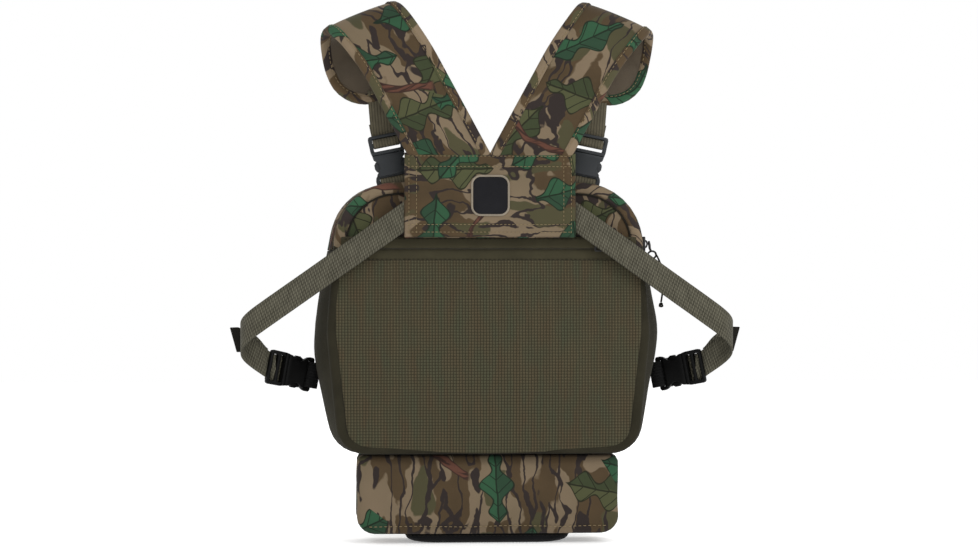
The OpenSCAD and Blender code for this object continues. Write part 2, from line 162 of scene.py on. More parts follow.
def resampled(points, n):
    """n evenly spaced points round a closed outline, from the bottom's middle."""
    m = len(points)
    first = next(i for i in range(m) if points[i].x >= 0 > points[(i + 1) % m].x
        and points[i].y < sum(p.y for p in points) / m)
    a, b = points[first], points[(first + 1) % m]
    foot = a.lerp(b, a.x / (a.x - b.x)) if a.x != b.x else a
    loop = [foot] + [points[(first + 1 + i) % m] for i in range(m)] + [foot]
    run = [0]
    for p, q in zip(loop, loop[1:]):
        run.append(run[-1] + (q - p).length)
    out, k = [], 0
    for i in range(n):
        s = run[-1] * i / n
        while run[k + 1] < s:
            k += 1
        step = run[k + 1] - run[k]
        out.append(loop[k].lerp(loop[k + 1], (s - run[k]) / step if step > 1e-9 else 0))
    return out


def pack_outline(i, n):
    return resampled(rounded(both_sides([(TOP_X - i, PACK_TOP - i, 50 - i), (142 - i, 165, 120),
        (FOOT_X - i, PACK_BOTTOM + i, max(3, 24 - i))])), n)


def band_outline(i, n):
    return resampled(rounded(both_sides([(TOP_X - i, PACK_TOP - i, 50 - i),
        (129.5 - i, 170, 90), (TOP_X - i, PACK_BOTTOM + 1 + i, max(3, 24 - i))])), n)


def plate_outline(x0, x1, z0, z1, r, n):
    return resampled(rounded([(x0, z1, r), (x1, z1, r), (x1, z0, r), (x0, z0, r)]), n)


def shrunk(points, centre, keep):
    return [centre + (p - centre) * keep for p in points]


def dome(x, z, half, mid, reach):
    """1 in the middle of a panel, falling to 0 at its edges."""
    return max(0, 1 - (x / half) ** 2) * max(0, 1 - ((z - mid) / reach) ** 2)


def upright(outline, y):
    """An outline's points in X and Z, stood up at a depth."""
    return [(p.x, y, p.y) for p in outline]


def wobble(x, y, z, size, amount, seed=0):
    """Smooth hand-made unevenness of a fabric face."""
    return amount * noise.noise(Vector((x / size + seed * 7.3, y / size, z / size + seed
        * 3.1)))


# ---- making pieces ----

MATERIALS = {}


@contextmanager
def edited(mesh):
    """A bmesh of the mesh, written back to it afterwards."""
    bm = bmesh.new()
    bm.from_mesh(mesh)
    yield bm
    bm.to_mesh(mesh)
    bm.free()


def linked(name, data):
    obj = bpy.data.objects.new(name, data)
    bpy.context.scene.collection.objects.link(obj)
    return obj


def finish_piece(obj, body, nodes=()):
    if body:
        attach(obj, body)
    if nodes:
        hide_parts(*nodes)
    return obj


def make(name, parts, materials, side=1, face_mats=None, outward=True):
    """A mesh object from grid parts. side -1 mirrors it to the pack's left."""
    verts, faces, uvs = parts
    materials = [materials] if isinstance(materials, str) else materials
    if side < 0:
        faces = [f[::-1] for f in faces]
        uvs = [u[::-1] for u in uvs]
    mesh = bpy.data.meshes.new(name)
    mesh.from_pydata([P(side * x, y, z) for x, y, z in verts], [], faces)
    layer = mesh.uv_layers.new(name="cloth")
    layer.data.foreach_set("uv", [c for face in uvs for uv in face for c in uv])
    for m in materials:
        mesh.materials.append(MATERIALS[m])
    if face_mats:
        mesh.polygons.foreach_set("material_index", face_mats)
    mesh.polygons.foreach_set("use_smooth", [True] * len(mesh.polygons))
    if outward:
        with edited(mesh) as bm:
            bmesh.ops.recalc_face_normals(bm, faces=bm.faces)
    mesh.update()
    return linked(name, mesh)


def add(name, parts, materials, body, nodes=(), side=1, **more):
    """Makes a piece that rides on a body and stands for the CAD nodes."""
    return finish_piece(make(name, parts, materials, side=side, **more), body, nodes)


def walled(obj, thickness, **settings):
    """Gives the piece's cloth a thickness, applied to its mesh."""
    wall = obj.modifiers.new("wall", "SOLIDIFY")
    wall.thickness = thickness * MM
    for key, value in settings.items():
        setattr(wall, key, value)
    graph = bpy.context.evaluated_depsgraph_get()
    graph.update()
    mesh = bpy.data.meshes.new_from_object(obj.evaluated_get(graph))
    obj.modifiers.clear()
    obj.data = mesh
    return obj


def grid(rows, closed=False, ends=(False, False), uv=None, shift=(0, 0), flat_uv=False):
    """Verts, faces and uvs in centimetres of fabric of a surface through rows of points.

    closed joins each row's last point to its first, and ends fills the first and
    last row. flat_uv maps a face as seen along y, and otherwise the fabric's u
    runs along the rows and its v across them."""
    n = len(rows[0])
    verts = [tuple(p) for row in rows for p in row]
    mid = len(rows) // 2
    across = [0.0]
    for a, b in zip(rows, rows[1:]):
        across.append(across[-1] + sum((Vector(p) - Vector(q)).length for p, q in zip(a, b))
            / n)
    ring = rows[mid]
    along = [0.0]
    for j in range(n):
        along.append(along[-1] + (Vector(ring[(j + 1) % n]) - Vector(ring[j])).length)
    faces, uvs = [], []

    def corner(i, j):
        if uv:
            u, v = uv(i, j)
        elif flat_uv:
            p = rows[i][j % n]
            u, v = p[0], p[2]
        else:
            u, v = along[j], across[i]
        return (u / 10 + shift[0], v / 10 + shift[1])

    for i in range(len(rows) - 1):
        for j in range(n if closed else n - 1):
            k = (j + 1) % n
            faces.append((i * n + j, i * n + k, (i + 1) * n + k, (i + 1) * n + j))
            uvs.append([corner(i, j), corner(i, j + 1), corner(i + 1, j + 1), corner(i + 1, j)])
    for wanted, i in zip(ends, (0, len(rows) - 1)):
        if wanted:
            faces.append(tuple(i * n + j for j in range(n)))
            uvs.append([(rows[i][j][0] / 10 + shift[0], rows[i][j][2] / 10 + shift[1])
                for j in range(n)])
    return verts, faces, uvs


def direction(path, i):
    """The way that a path runs at its point i."""
    return (path[min(i + 1, len(path) - 1)] - path[max(i - 1, 0)]).normalized()


def round_angles(sides):
    return [2 * math.pi * k / sides for k in range(sides)]


def sealed(rows, **more):
    """Grid parts of a closed form through rows."""
    return grid(rows, closed=True, ends=(True, True), **more)


def slanted(parts, angle=0.75):
    """Grid parts whose cloth is cut on the bias."""
    verts, faces, uvs = parts
    c, q = math.cos(angle), math.sin(angle)
    return verts, faces, [[(c * u - q * v, q * u + c * v) for u, v in face] for face in uvs]


def merged(*parts):
    """One verts, faces, uvs set from several."""
    verts, faces, uvs = [], [], []
    for v, f, u in parts:
        base = len(verts)
        verts += v
        faces += [tuple(i + base for i in face) for face in f]
        uvs += u
    return verts, faces, uvs


def tube(path, radius, sides=8):
    """Grid parts of a round tube along own-frame points; radius may be a list."""
    path = [Vector(p) for p in path]
    radii = radius if isinstance(radius, list) else [radius] * len(path)
    rows, up = [], Vector((0, 1, 0))
    for i, p in enumerate(path):
        go = direction(path, i)
        a = go.cross(up)
        a = a.normalized() if a.length > 1e-3 else Vector((1, 0, 0))
        b = go.cross(a)
        up = a.cross(go)
        rows.append([p + (a * math.cos(t) + b * math.sin(t)) * radii[i]
            for t in round_angles(sides)])
    return sealed(rows)


def ring_tube(path, radius, sides=8):
    """Grid parts of a round tube along a closed path in a plane of constant y."""
    path = [Vector(p) for p in path]
    n = len(path)
    rows = []
    for i in range(n + 1):
        p, go = path[i % n], (path[(i + 1) % n] - path[i - 1]).normalized()
        a = Vector((0, 1, 0))
        b = go.cross(a).normalized()
        rows.append([p + (a * math.cos(t) + b * math.sin(t)) * radius
            for t in round_angles(sides)])
    return grid(rows, closed=True)


def walk(path, step, start=0.0):
    """Points and directions every step along a path of own-frame points."""
    path = [Vector(p) for p in path]
    left = start
    for a, b in zip(path, path[1:]):
        length = (b - a).length
        if length < 1e-6:
            continue
        go = (b - a) / length
        while left < length:
            yield a + go * left, go
            left += step
        left -= length


def stitch_parts(path, dash=2.3, gap=1.3, radius=0.3):
    """Grid parts of a row of sewn stitches: short threads that dip at both ends."""
    parts = []
    for p, go in walk(path, dash + gap, gap):
        tips = [(-0.5, 0.45), (-0.3, 1), (0.3, 1), (0.5, 0.45)]
        parts.append(tube([p + go * dash * t for t, _ in tips], [radius * r for _, r in tips],
            sides=5))
    return parts


def stitches(name, paths, body, material="thread", dash=2.3, gap=1.3, radius=0.3, side=1):
    parts = [part for path in paths for part in stitch_parts(path, dash, gap, radius)]
    return add(name, merged(*parts), material, body, side=side)


def block_parts(lo, hi, bevel, segments=2):
    """Box with bevelled edges, as grid parts."""
    bm = bmesh.new()
    bmesh.ops.create_cube(bm, size=1)
    size = Vector(hi) - Vector(lo)
    mid = (Vector(hi) + Vector(lo)) / 2
    for v in bm.verts:
        v.co = Vector((v.co.x * size.x, v.co.y * size.y, v.co.z * size.z)) + mid
    bmesh.ops.bevel(bm, geom=bm.edges[:], offset=bevel, segments=segments, profile=0.6,
        affect="EDGES")
    return from_bmesh(bm)


def from_bmesh(bm):
    bm.verts.index_update()
    verts = [tuple(v.co) for v in bm.verts]
    faces = [tuple(v.index for v in f.verts) for f in bm.faces]
    uvs = [[(v.co.x / 10, v.co.z / 10) for v in f.verts] for f in bm.faces]
    bm.free()
    return verts, faces, uvs


def slab_parts(outlines, y0, y1, bevel):
    """Plate between y0 and y1 with outlines (outer first, then holes) in X and Z,
    its edges rounded by bevel, as grid parts."""
    curve = bpy.data.curves.new("slab", "CURVE")
    curve.dimensions = "2D"
    curve.fill_mode = "BOTH"
    curve.extrude = (y1 - y0) / 2 - bevel
    curve.bevel_depth = bevel
    curve.bevel_resolution = 2
    curve.offset = -bevel
    for outline in outlines:
        spline = curve.splines.new("POLY")
        spline.points.add(len(outline) - 1)
        for point, (x, z) in zip(spline.points, outline):
            point.co = (x, z, 0, 1)
        spline.use_cyclic_u = True
    obj = linked("slab", curve)
    graph = bpy.context.evaluated_depsgraph_get()
    mesh = bpy.data.meshes.new_from_object(obj.evaluated_get(graph))
    bm = bmesh.new()
    bm.from_mesh(mesh)
    bmesh.ops.remove_doubles(bm, verts=bm.verts, dist=1e-4)
    for v in bm.verts:
        v.co = Vector((v.co.x, (y0 + y1) / 2 - v.co.z, v.co.y))
    parts = from_bmesh(bm)
    bpy.data.objects.remove(obj)
    bpy.data.curves.remove(curve)
    bpy.data.meshes.remove(mesh)
    return parts


def moved(parts, move):
    """Grid parts with every point sent through move()."""
    verts, faces, uvs = parts
    return [tuple(move(Vector(v))) for v in verts], faces, uvs


# ---- materials ----

def linear(r, g, b):
    """Linear colour from 8-bit display values."""
    return tuple(((c / 255 + 0.055) / 1.055) ** 2.4 if c > 10 else c / 255 / 12.92 for c in (r,
        g, b)) + (1,)


class Shader:
    """Builds one material's nodes."""

    def __init__(self, name, slot, roughness=0.85, sheen=0.0, specular=0.3):
        self.material = bpy.data.materials.new(name)
        self.material.use_nodes = True
        self.tree = self.material.node_tree
        self.bsdf = self.tree.nodes["Principled BSDF"]
        self.bsdf.inputs["Roughness"].default_value = roughness
        self.bsdf.inputs["Specular IOR Level"].default_value = specular
        if sheen:
            self.bsdf.inputs["Sheen Weight"].default_value = sheen
            self.bsdf.inputs["Sheen Roughness"].default_value = 0.5
        MATERIALS[name] = self.material

    def node(self, kind, inputs=None, **settings):
        made = self.tree.nodes.new("ShaderNode" + kind)
        for key, value in settings.items():
            setattr(made, key, value)
        for key, value in (inputs or {}).items():
            self.put(made.inputs[key], value)
        return made

    def put(self, socket, value):
        if isinstance(value, bpy.types.NodeSocket):
            self.tree.links.new(value, socket)
        elif value is not None:
            socket.default_value = value

    def math(self, operation, a, b=None, clamp=False):
        made = self.node("Math", {0: a, 1: b}, operation=operation, use_clamp=clamp)
        return made.outputs[0]

    def mul(self, a, b):
        return self.math("MULTIPLY", a, b)

    def over(self, a, b):
        return self.math("DIVIDE", a, b)

    def plus(self, a, b, clamp=False):
        return self.math("ADD", a, b, clamp)

    def minus(self, a, b):
        return self.math("SUBTRACT", a, b)

    def abs(self, a):
        return self.math("ABSOLUTE", a)

    def sin(self, a):
        return self.math("SINE", a)

    def fract(self, a):
        return self.math("FRACT", a)

    def vector(self, operation, a, b=None, scale=None):
        made = self.node("VectorMath", {0: a, 1: b}, operation=operation)
        if scale is not None:
            self.put(made.inputs["Scale"], scale)
        return made.outputs[0]

    def cloth(self):
        return self.node("UVMap", uv_map="cloth").outputs[0]

    def place(self):
        return self.node("TexCoord").outputs["Object"]

    def stretched(self, vector, x, y):
        return self.vector("MULTIPLY", vector, (x, y, 1))

    def noise(self, vector, scale, detail=2.0, output="Fac"):
        made = self.node("TexNoise", {"Vector": vector, "Scale": scale, "Detail": detail,
            "Roughness": 0.5})
        return made.outputs[output]

    def warped(self, vector, scale, amount, detail=2.0):
        """The vector pushed about by noise by up to amount."""
        push = self.vector("SUBTRACT", self.noise(vector, scale, detail, "Color"),
            (0.5, 0.5, 0.5))
        return self.vector("ADD", vector, self.vector("SCALE", push, scale=2 * amount))

    def step(self, value, edge, width=0.02):
        """0 below the edge and 1 above it, softened over width."""
        made = self.node("MapRange", {"Value": value, "From Min": edge - width, "From Max": edge
            + width}, clamp=True)
        return made.outputs[0]

    def mix(self, share, a, b, blend="MIX"):
        made = self.node("Mix", data_type="RGBA", blend_type=blend)
        for socket, value in ((0, share), (6, a), (7, b)):
            self.put(made.inputs[socket], value)
        return made.outputs[2]

    def shade(self, colour, amount):
        """The colour times a grey value."""
        return self.mix(1.0, colour, amount, "MULTIPLY")

    def parts(self, vector):
        made = self.node("SeparateXYZ", {0: vector})
        return made.outputs[0], made.outputs[1]

    def bump(self, height, distance, strength=0.6):
        made = self.node("Bump", {"Strength": strength, "Distance": distance, "Height": height})
        self.tree.links.new(made.outputs[0], self.bsdf.inputs["Normal"])

    def colour(self, value):
        self.put(self.bsdf.inputs["Base Color"], value)

    def weave(self, vector, pitch):
        """Height of an even plain weave with that pitch in centimetres."""
        u, v = self.parts(vector)
        a = self.sin(self.mul(u, 2 * math.pi / pitch))
        b = self.sin(self.mul(v, 2 * math.pi / pitch))
        return self.mul(a, b)


def leaf_layer(s, cloth, base, cell, length, width, offset, share, light, dark, rib):
    """Scattered lobed leaves over a base colour, one to a cell."""
    at = s.vector("ADD", cloth, (offset, offset * 0.7, 0))
    cells = s.node("TexVoronoi", {"Vector": at, "Scale": 1 / cell, "Randomness": 0.75},
        voronoi_dimensions="2D", feature="F1")
    pick = s.node("SeparateColor", {0: cells.outputs["Color"]})
    local = s.vector("SUBTRACT", at, cells.outputs["Position"])
    turned = s.node("VectorRotate", {"Vector": local, "Angle": s.mul(pick.outputs[0],
        2 * math.pi)}, rotation_type="Z_AXIS").outputs[0]
    x, y = s.parts(s.warped(turned, 0.8, 0.12))
    t = s.over(x, length / 2)
    off = s.abs(y)
    body = s.minus(1.0, s.math("POWER", s.abs(t), 2.4))
    lobes = s.plus(0.66, s.mul(0.34, s.sin(s.plus(s.mul(t, 7.5), s.mul(pick.outputs[1], 6)))))
    edge = s.minus(s.mul(s.mul(body, lobes), width / 2), off)
    shown = s.math("GREATER_THAN", pick.outputs[2], 1 - share)
    inside = s.mul(s.step(edge, 0.0, 0.02), shown)
    blade = s.mul(s.step(edge, 0.09, 0.02), shown)
    halves = s.step(s.plus(y, s.mul(s.noise(turned, 1.1), 0.5)), 0.28, 0.05)
    vein = s.abs(s.minus(s.fract(s.plus(s.mul(off, 1.1), s.mul(x, 1.3))), 0.5))
    veins = s.math("MAXIMUM", s.minus(1.0, s.step(off, 0.05, 0.015)),
        s.minus(1.0, s.step(vein, 0.045, 0.015)))
    face = s.mix(veins, s.mix(halves, light, dark), rib)
    return s.mix(blade, s.mix(inside, base, rib), face)


def branches(s, cloth, base, slope, spacing, width, offset, light, dark):
    """Wavy red-brown twigs across the cloth."""
    bent = s.warped(s.vector("ADD", cloth, (offset, -offset, 0)), 0.16, 1.7, 3.0)
    u, v = s.parts(bent)
    d = s.plus(s.mul(v, math.cos(slope)), s.mul(u, math.sin(slope)))
    f = s.abs(s.minus(s.fract(s.over(d, spacing)), 0.5))
    f = s.mul(f, spacing)
    there = s.step(s.noise(s.vector("ADD", cloth, (3.3 + offset, 1.7, 0)), 0.14, 1.0), 0.5,
        0.01)
    thick = s.mul(s.noise(cloth, 0.5), 2 * width)
    outer = s.mul(s.step(s.minus(thick, f), 0.0, 0.02), there)
    inner = s.mul(s.step(s.minus(thick, f), 0.07, 0.02), there)
    grain = s.step(s.noise(s.stretched(bent, 0.5, 3.0), 1.6), 0.52, 0.04)
    return s.mix(inner, s.mix(outer, base, dark), s.mix(grain, light, dark))


def camo_material(name="camo", slot="camo", lighten=1.0):
    """Bark and leaf camouflage print on a soft brushed cloth."""
    s = Shader(name, slot, roughness=0.9, sheen=0.04, specular=0.06)
    cloth = s.cloth()
    print_ = s.vector("SCALE", cloth, scale=0.72)
    bent = s.warped(s.warped(print_, 0.3, 0.9, 2.0), 1.3, 0.16, 2.0)
    tan = s.mix(s.noise(print_, 0.35), linear(116, 100, 82), linear(94, 84, 66))
    brown = s.mix(s.noise(print_, 0.5), linear(78, 63, 45), linear(58, 49, 36))
    olive = linear(66, 63, 45)
    charcoal = linear(44, 38, 36)
    bark = s.noise(s.stretched(bent, 0.62, 0.2), 1.0, 1.0)
    base = s.mix(s.step(bark, 0.5, 0.008), brown, tan)
    patch = s.noise(s.stretched(s.vector("ADD", bent, (11, 5, 0)), 0.5, 0.24), 1.0, 1.0)
    base = s.mix(s.step(patch, 0.6, 0.008), base, olive)
    streak = s.noise(s.stretched(s.vector("ADD", bent, (23, 9, 0)), 0.95, 0.2), 1.0, 1.5)
    wide = s.mul(s.noise(print_, 0.7), 0.05)
    near = s.abs(s.minus(streak, 0.5))
    base = s.mix(s.step(s.minus(wide, near), 0.0, 0.004), base, charcoal)
    blot = s.noise(s.stretched(s.vector("ADD", bent, (37, 19, 0)), 0.8, 0.34), 1.0, 1.0)
    base = s.mix(s.step(blot, 0.66, 0.006), base, charcoal)
    base = leaf_layer(s, print_, base, 4.8, 4.5, 2.4, 41.0, 0.42, linear(68, 70, 48),
        linear(52, 58, 40), linear(36, 37, 27))
    base = branches(s, print_, base, 0.45, 7.5, 0.26, 5.0, linear(84, 56, 46),
        linear(52, 38, 33))
    base = leaf_layer(s, print_, base, 4.2, 4.3, 2.1, 13.0, 0.5, linear(44, 74, 53),
        linear(40, 60, 45), linear(29, 38, 29))
    fibre = s.noise(s.stretched(cloth, 14.0, 9.0), 2.0, 2.0)
    cloudy = s.noise(cloth, 0.22, 2.0)
    grey = s.plus(0.72, s.plus(s.mul(fibre, 0.22), s.mul(cloudy, 0.36)))
    s.colour(s.shade(base, s.mul(grey, lighten)))
    s.bump(s.plus(s.weave(cloth, 0.09), fibre), 0.0002, 0.35)
    return s


def cloth_material(name, slot, light, dark, pitch, roughness=0.85, sheen=0.03, depth=0.0002):
    """Plain woven cloth in two close tones."""
    s = Shader(name, slot, roughness=roughness, sheen=sheen, specular=0.06)
    cloth = s.cloth()
    weave = s.weave(s.warped(cloth, 1.5, 0.008), pitch)
    cloudy = s.noise(cloth, 0.4, 4.0)
    # painted shade: the weave's hollows are coloured darker; cloudy adds random tone
    tone = s.plus(s.mul(weave, 0.18), s.plus(-0.15, s.mul(cloudy, 1.3)), clamp=True)
    s.colour(s.mix(tone, linear(*dark), linear(*light)))
    s.bump(s.plus(weave, s.mul(cloudy, 2.0)), depth, 0.5)
    return s


def mesh_material():
    """Open ribbed mesh with a square grid of holes, painted dark for the shade in them, and a
    faint streaky tint.
    """
    s = Shader("mesh", "mesh_fabric", roughness=0.9, sheen=0.04, specular=0.06)
    cloth = s.cloth()
    u, v = s.parts(s.warped(cloth, 0.6, 0.02))
    pitch = 0.24
    a = s.abs(s.sin(s.mul(u, math.pi / pitch)))
    b = s.abs(s.sin(s.mul(v, math.pi / pitch)))
    cell = s.mul(s.math("POWER", a, 0.7), s.math("POWER", b, 0.45))
    streaks = s.noise(s.stretched(cloth, 1.5, 0.16), 1.0, 3.0)
    tint = s.noise(s.stretched(s.vector("ADD", cloth, (9, 4, 0)), 1.1, 0.3), 1.0, 3.0)
    warm = s.mix(s.step(streaks, 0.5, 0.15), linear(76, 70, 53), linear(74, 65, 49))
    cool = s.mix(s.step(tint, 0.54, 0.15), warm, linear(68, 69, 53))
    # painted shade: the grid's low lines, its holes, take the dark colour
    s.colour(s.mix(cell, linear(40, 37, 27), cool))
    s.bump(cell, 0.0005, 0.7)


def webbing_material(name, slot, light, dark, ribs=0.25, cross=0.25, contrast=0.5):
    """Woven strap: lengthwise ribs crossed by a diamond weave. u runs across."""
    s = Shader(name, slot, roughness=0.75, sheen=0.03, specular=0.12)
    cloth = s.cloth()
    u, v = s.parts(cloth)
    rib = s.abs(s.sin(s.mul(u, math.pi / ribs)))
    row = s.sin(s.plus(s.mul(v, 2 * math.pi / cross), s.mul(s.math("FLOOR", s.over(u, ribs)),
        math.pi)))
    height = s.mul(s.math("POWER", rib, 0.6), s.plus(1 - contrast, s.mul(row, contrast)))
    worn = s.noise(cloth, 1.1, 4.0)
    # painted shade: colour darkens with the weave's height into its grooves; worn adds random
    # tone
    tone = s.plus(s.mul(height, 0.75), s.mul(s.minus(worn, 0.35), 0.7), clamp=True)
    s.colour(s.mix(tone, linear(*dark), linear(*light)))
    s.bump(height, 0.0004, 0.8)


def plastic_material(name, slot, light, dark, roughness, specular):
    """Moulded plastic with a fine spark-eroded grain and rubbed spots."""
    s = Shader(name, slot, roughness=roughness, specular=specular)
    place = s.place()
    rubbed = s.noise(place, 90.0, 4.0)
    s.colour(s.mix(rubbed, linear(*dark), linear(*light)))
    s.put(s.bsdf.inputs["Roughness"], s.plus(roughness - 0.1, s.mul(rubbed, 0.25)))
    s.bump(s.noise(place, 2500.0, 2.0), 0.00006, 0.3)


def add_materials():
    camo_material()
    camo_material("camo_binding", "camo", 1.15)
    cloth_material("olive", "olive_fabric", (48, 45, 34), (30, 28, 20), 0.1)
    cloth_material("zip_band", "zip_tape", (66, 62, 46), (48, 45, 34), 0.07)
    mesh_material()
    cloth_material("lining", "lining", (90, 79, 64), (66, 58, 48), 0.05, 0.7, 0.25)
    cloth_material("tape", "zip_tape", (52, 48, 38), (32, 30, 24), 0.07)
    cloth_material("black_cloth", "base_fabric", (18, 18, 20), (8, 8, 9), 0.12, 0.6)
    cloth_material("patch", "patch", (34, 34, 37), (20, 20, 22), 0.06)
    cloth_material("patch_border", "patch", (150, 140, 124), (112, 104, 92), 0.05)
    cloth_material("hem", "dark_webbing", (34, 32, 28), (18, 17, 15), 0.1)
    cloth_material("thread", "webbing", (150, 132, 98), (110, 96, 72), 0.04)
    # Dark thread, also used for the painted shade lines in the welt's groove and along the
    # mesh's edge.
    cloth_material("dark_thread", "zip_tape", (40, 37, 30), (24, 22, 18), 0.04)
    webbing_material("webbing", "webbing", (98, 95, 81), (48, 46, 37))
    webbing_material("black_webbing", "dark_webbing", (20, 20, 20), (9, 9, 9), 0.22, 0.1, 0.15)
    webbing_material("ribbed_webbing", "webbing", (92, 86, 70), (50, 47, 37), 0.22, 0.1, 0.15)
    plastic_material("grey_buckle", "buckle_plastic", (40, 43, 45), (24, 27, 30), 0.4, 0.25)
    plastic_material("black_buckle", "buckle_plastic", (12, 12, 12), (7, 7, 7), 0.45, 0.1)
    plastic_material("zip_metal", "zip_metal", (36, 34, 32), (18, 18, 18), 0.4, 0.3)
    plastic_material("coil", "zip_tape", (58, 54, 42), (34, 32, 25), 0.5, 0.2)
    cloth_material("cord", "cord", (34, 32, 28), (16, 15, 13), 0.06)


# ---- zip cord ----

def add_zip_cord():
    """The loop of thin cord on the main zip's ring, with its knot."""
    curve = bpy.data.curves.new("zip_cord", "CURVE")
    curve.dimensions = "3D"
    curve.bevel_depth = ZIP_CORD_D / 2 * MM
    curve.bevel_resolution = 3
    curve.use_fill_caps = True
    spline = curve.splines.new("POLY")
    spline.points.add(len(ZIP_CORD_ROUTE) - 1)
    for i, point in enumerate(ZIP_CORD_ROUTE):
        spline.points[i].co = (*P(*point), 1)
    curve.materials.append(MATERIALS["cord"])
    cord = linked("zip_cord_line", curve)
    finish_piece(cord, "main_ring", ["zip_cord"])
    end = Vector(ZIP_CORD_ROUTE[-1]) - Vector((0, 0, 2.1))
    turns = [end + Vector((1.35 * math.cos(t) * (1 - 0.25 * math.cos(2 * t)),
        1.1 * math.sin(2 * t + 0.6), 1.25 * math.sin(t))) for t in evenly(0, 2 * math.pi, 24)]
    cross = [end + Vector((1.2 * math.sin(t), 1.3 * math.cos(t), 0.9 * math.cos(2 * t)))
        for t in evenly(0, 2 * math.pi, 24)]
    knot = add("zip_cord_stopper", merged(tube(turns, 0.75), tube(cross, 0.75)), "cord",
        "main_ring", ["zip_cord_knot"])


# ---- pack shell and lid ----

RING = 144
SHELL_RINGS = [  # y, how far from the band outline to the pack outline, inset
    (7.1, 0.0, 1.0), (9, 0.06, 0.4), (LID_BACK + 0.9, 0.33, 0.0), (18, 0.55, 0), (24, 0.8, 0),
    (32, 0.96, 0), (42, 1, 0), (54, 1, 0), (66, 1, 0), (78, 1, 0), (88, 1, 0.1),
    (94, 1, 0.8), (97.6, 1, 2.4), (99.6, 1, 5), (100, 1, 8)]


def shell_rows(inset, bulge):
    """Rows of the pack's outer surface, from its rear rim to the middle of its front."""
    rows = []
    for y, share, edge in SHELL_RINGS:
        band = band_outline(edge + inset, RING)
        full = pack_outline(edge + inset, RING)
        y = min(y, PACK_DEPTH - inset)
        row = []
        for a, b in zip(band, full):
            p = a.lerp(b, share)
            out = wobble(p.x, y, p.y, 38, bulge) * (1 if 20 < y < 92 else 0.3)
            row.append((p.x * (1 + out / 120), y, p.y))
        rows.append(row)
    centre = Vector((0, 180))
    front = pack_outline(8 + inset, RING)
    for keep in (0.93, 0.8, 0.6, 0.4, 0.2, 0.04):
        rows.append([(p.x, min(100, PACK_DEPTH) - inset, p.y) for p in shrunk(front, centre,
            keep)])
    return rows


def shell_uv(rows):
    """Fabric map of the shell: the gusset is unrolled and the front is seen flat."""
    rim = len(SHELL_RINGS) - 1
    full = rows[8]
    along = [0.0]
    for j in range(RING):
        along.append(along[-1] + (Vector(full[(j + 1) % RING]) - Vector(full[j])).length)

    def at(i, j):
        if i <= rim:
            return along[j], rows[i][0][1]
        p = rows[i][j % RING]
        return p[0], p[2]
    return at


def cut_at_lid(obj, keep_top):
    """Leaves one side of the lid line and, for the lid, nothing behind its zip."""
    line = LID_LINE + (0.4 if keep_top else -0.4)
    with edited(obj.data) as bm:
        bmesh.ops.bisect_plane(bm, geom=bm.verts[:] + bm.edges[:] + bm.faces[:],
            plane_co=P(0, 0, line), plane_no=(0, 0, 1), clear_outer=not keep_top,
            clear_inner=keep_top)
        if keep_top:
            behind = [f for f in bm.faces if f.calc_center_median().y < P(0, LID_BACK, 0).y]
            bmesh.ops.delete(bm, geom=behind, context="FACES")


def shell_piece(name, keep_top, materials, inset, bulge, thickness, shift):
    rows = shell_rows(inset, bulge)
    parts = grid(rows, closed=True, ends=(False, True), uv=shell_uv(rows), shift=shift)
    obj = make(name, parts, materials)
    cut_at_lid(obj, keep_top)
    return walled(obj, thickness, use_even_offset=True, material_offset=1,
        material_offset_rim=1)


def arch(inset, y, z_from, n=RING * 2, outline=pack_outline):
    """The open path over the pack's top, from its left side to its right one."""
    points = [p for p in outline(inset, n) if p.y > z_from]
    points.sort(key=lambda p: math.atan2(p.y - 200, p.x), reverse=True)
    return upright(points, y)


def add_pack_shell():
    for name, body, node, cloth, inset, bulge, thickness, shift in (
            ("pack_body", "pack", "main_shell", "olive", 0, 1.6, 2.6, (3, 0)),
            ("pack_inner_lining", "pack", "shell_lining", "lining", 3.4, 1.0, 0.6, (1, 5)),
            ("lid_body", "lid", "lid_shell", "camo", 0, 1.0, 2.6, (6, 2.5)),
            ("lid_inner_lining", "lid", "lid_lining", "lining", 3.4, 0.6, 0.6, (2, 3))):
        shell = shell_piece(name, body == "lid", [cloth, "lining"], inset, bulge, thickness,
            shift)
        finish_piece(shell, body, [node])


def fold_parts(half, steps, profile, thick):
    """Grid parts of a folded tape along X, from its outer face's (y, z) points."""
    return sealed([[(x, y, z) for y, z in profile]
        + [(x, y - thick, z) for y, z in reversed(profile)] for x in evenly(-half, half,
        steps)])


def add_piping():
    """Welts where the gusset meets the front, and the folded tape at the lid's hinge."""
    loop = upright(pack_outline(2.8, RING), WELT_Y)
    low = [p for p in loop if p[2] < LID_LINE - 1.5]
    low.sort(key=lambda p: math.atan2(p[0], -(p[2] - 180)))
    add("front_piping", tube(low, 1.5), "tape", "pack")
    top = arch(2.8, WELT_Y, LID_LINE + 1.5, RING)
    add("lid_piping", tube(top, 1.5), "tape", "lid")
    profile = [(PACK_DEPTH + 0.15 + 1.1 * math.cos(t) ** 2, LID_LINE + 9 * math.sin(t))
        for t in evenly(-1.45, 1.45, 14)]
    fold = make("lid_hinge_fold", fold_parts(112, 40, profile, 0.9), "olive")
    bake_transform(fold)
    finish_piece(fold, None, ["lid_hinge_roll"])


def tooth_parts(path, reach):
    """Grid parts of zip teeth along a path, each reaching along y by reach."""
    parts = []
    for p, go in walk(path, TOOTH_PITCH, TOOTH_PITCH / 2):
        up = go.cross(Vector((0, 1, 0))).normalized()
        rows = []
        for t, w, h in ((0, 0.62, 0.9), (0.6, 0.62, 1.0), (0.85, 0.8, 0.9), (1, 0.6, 0.6)):
            c = p + Vector((0, reach * t, 0))
            rows.append([c + go * w - up * h, c + go * w + up * h, c - go * w + up * h,
                c - go * w - up * h])
        parts.append(sealed(rows))
    return parts


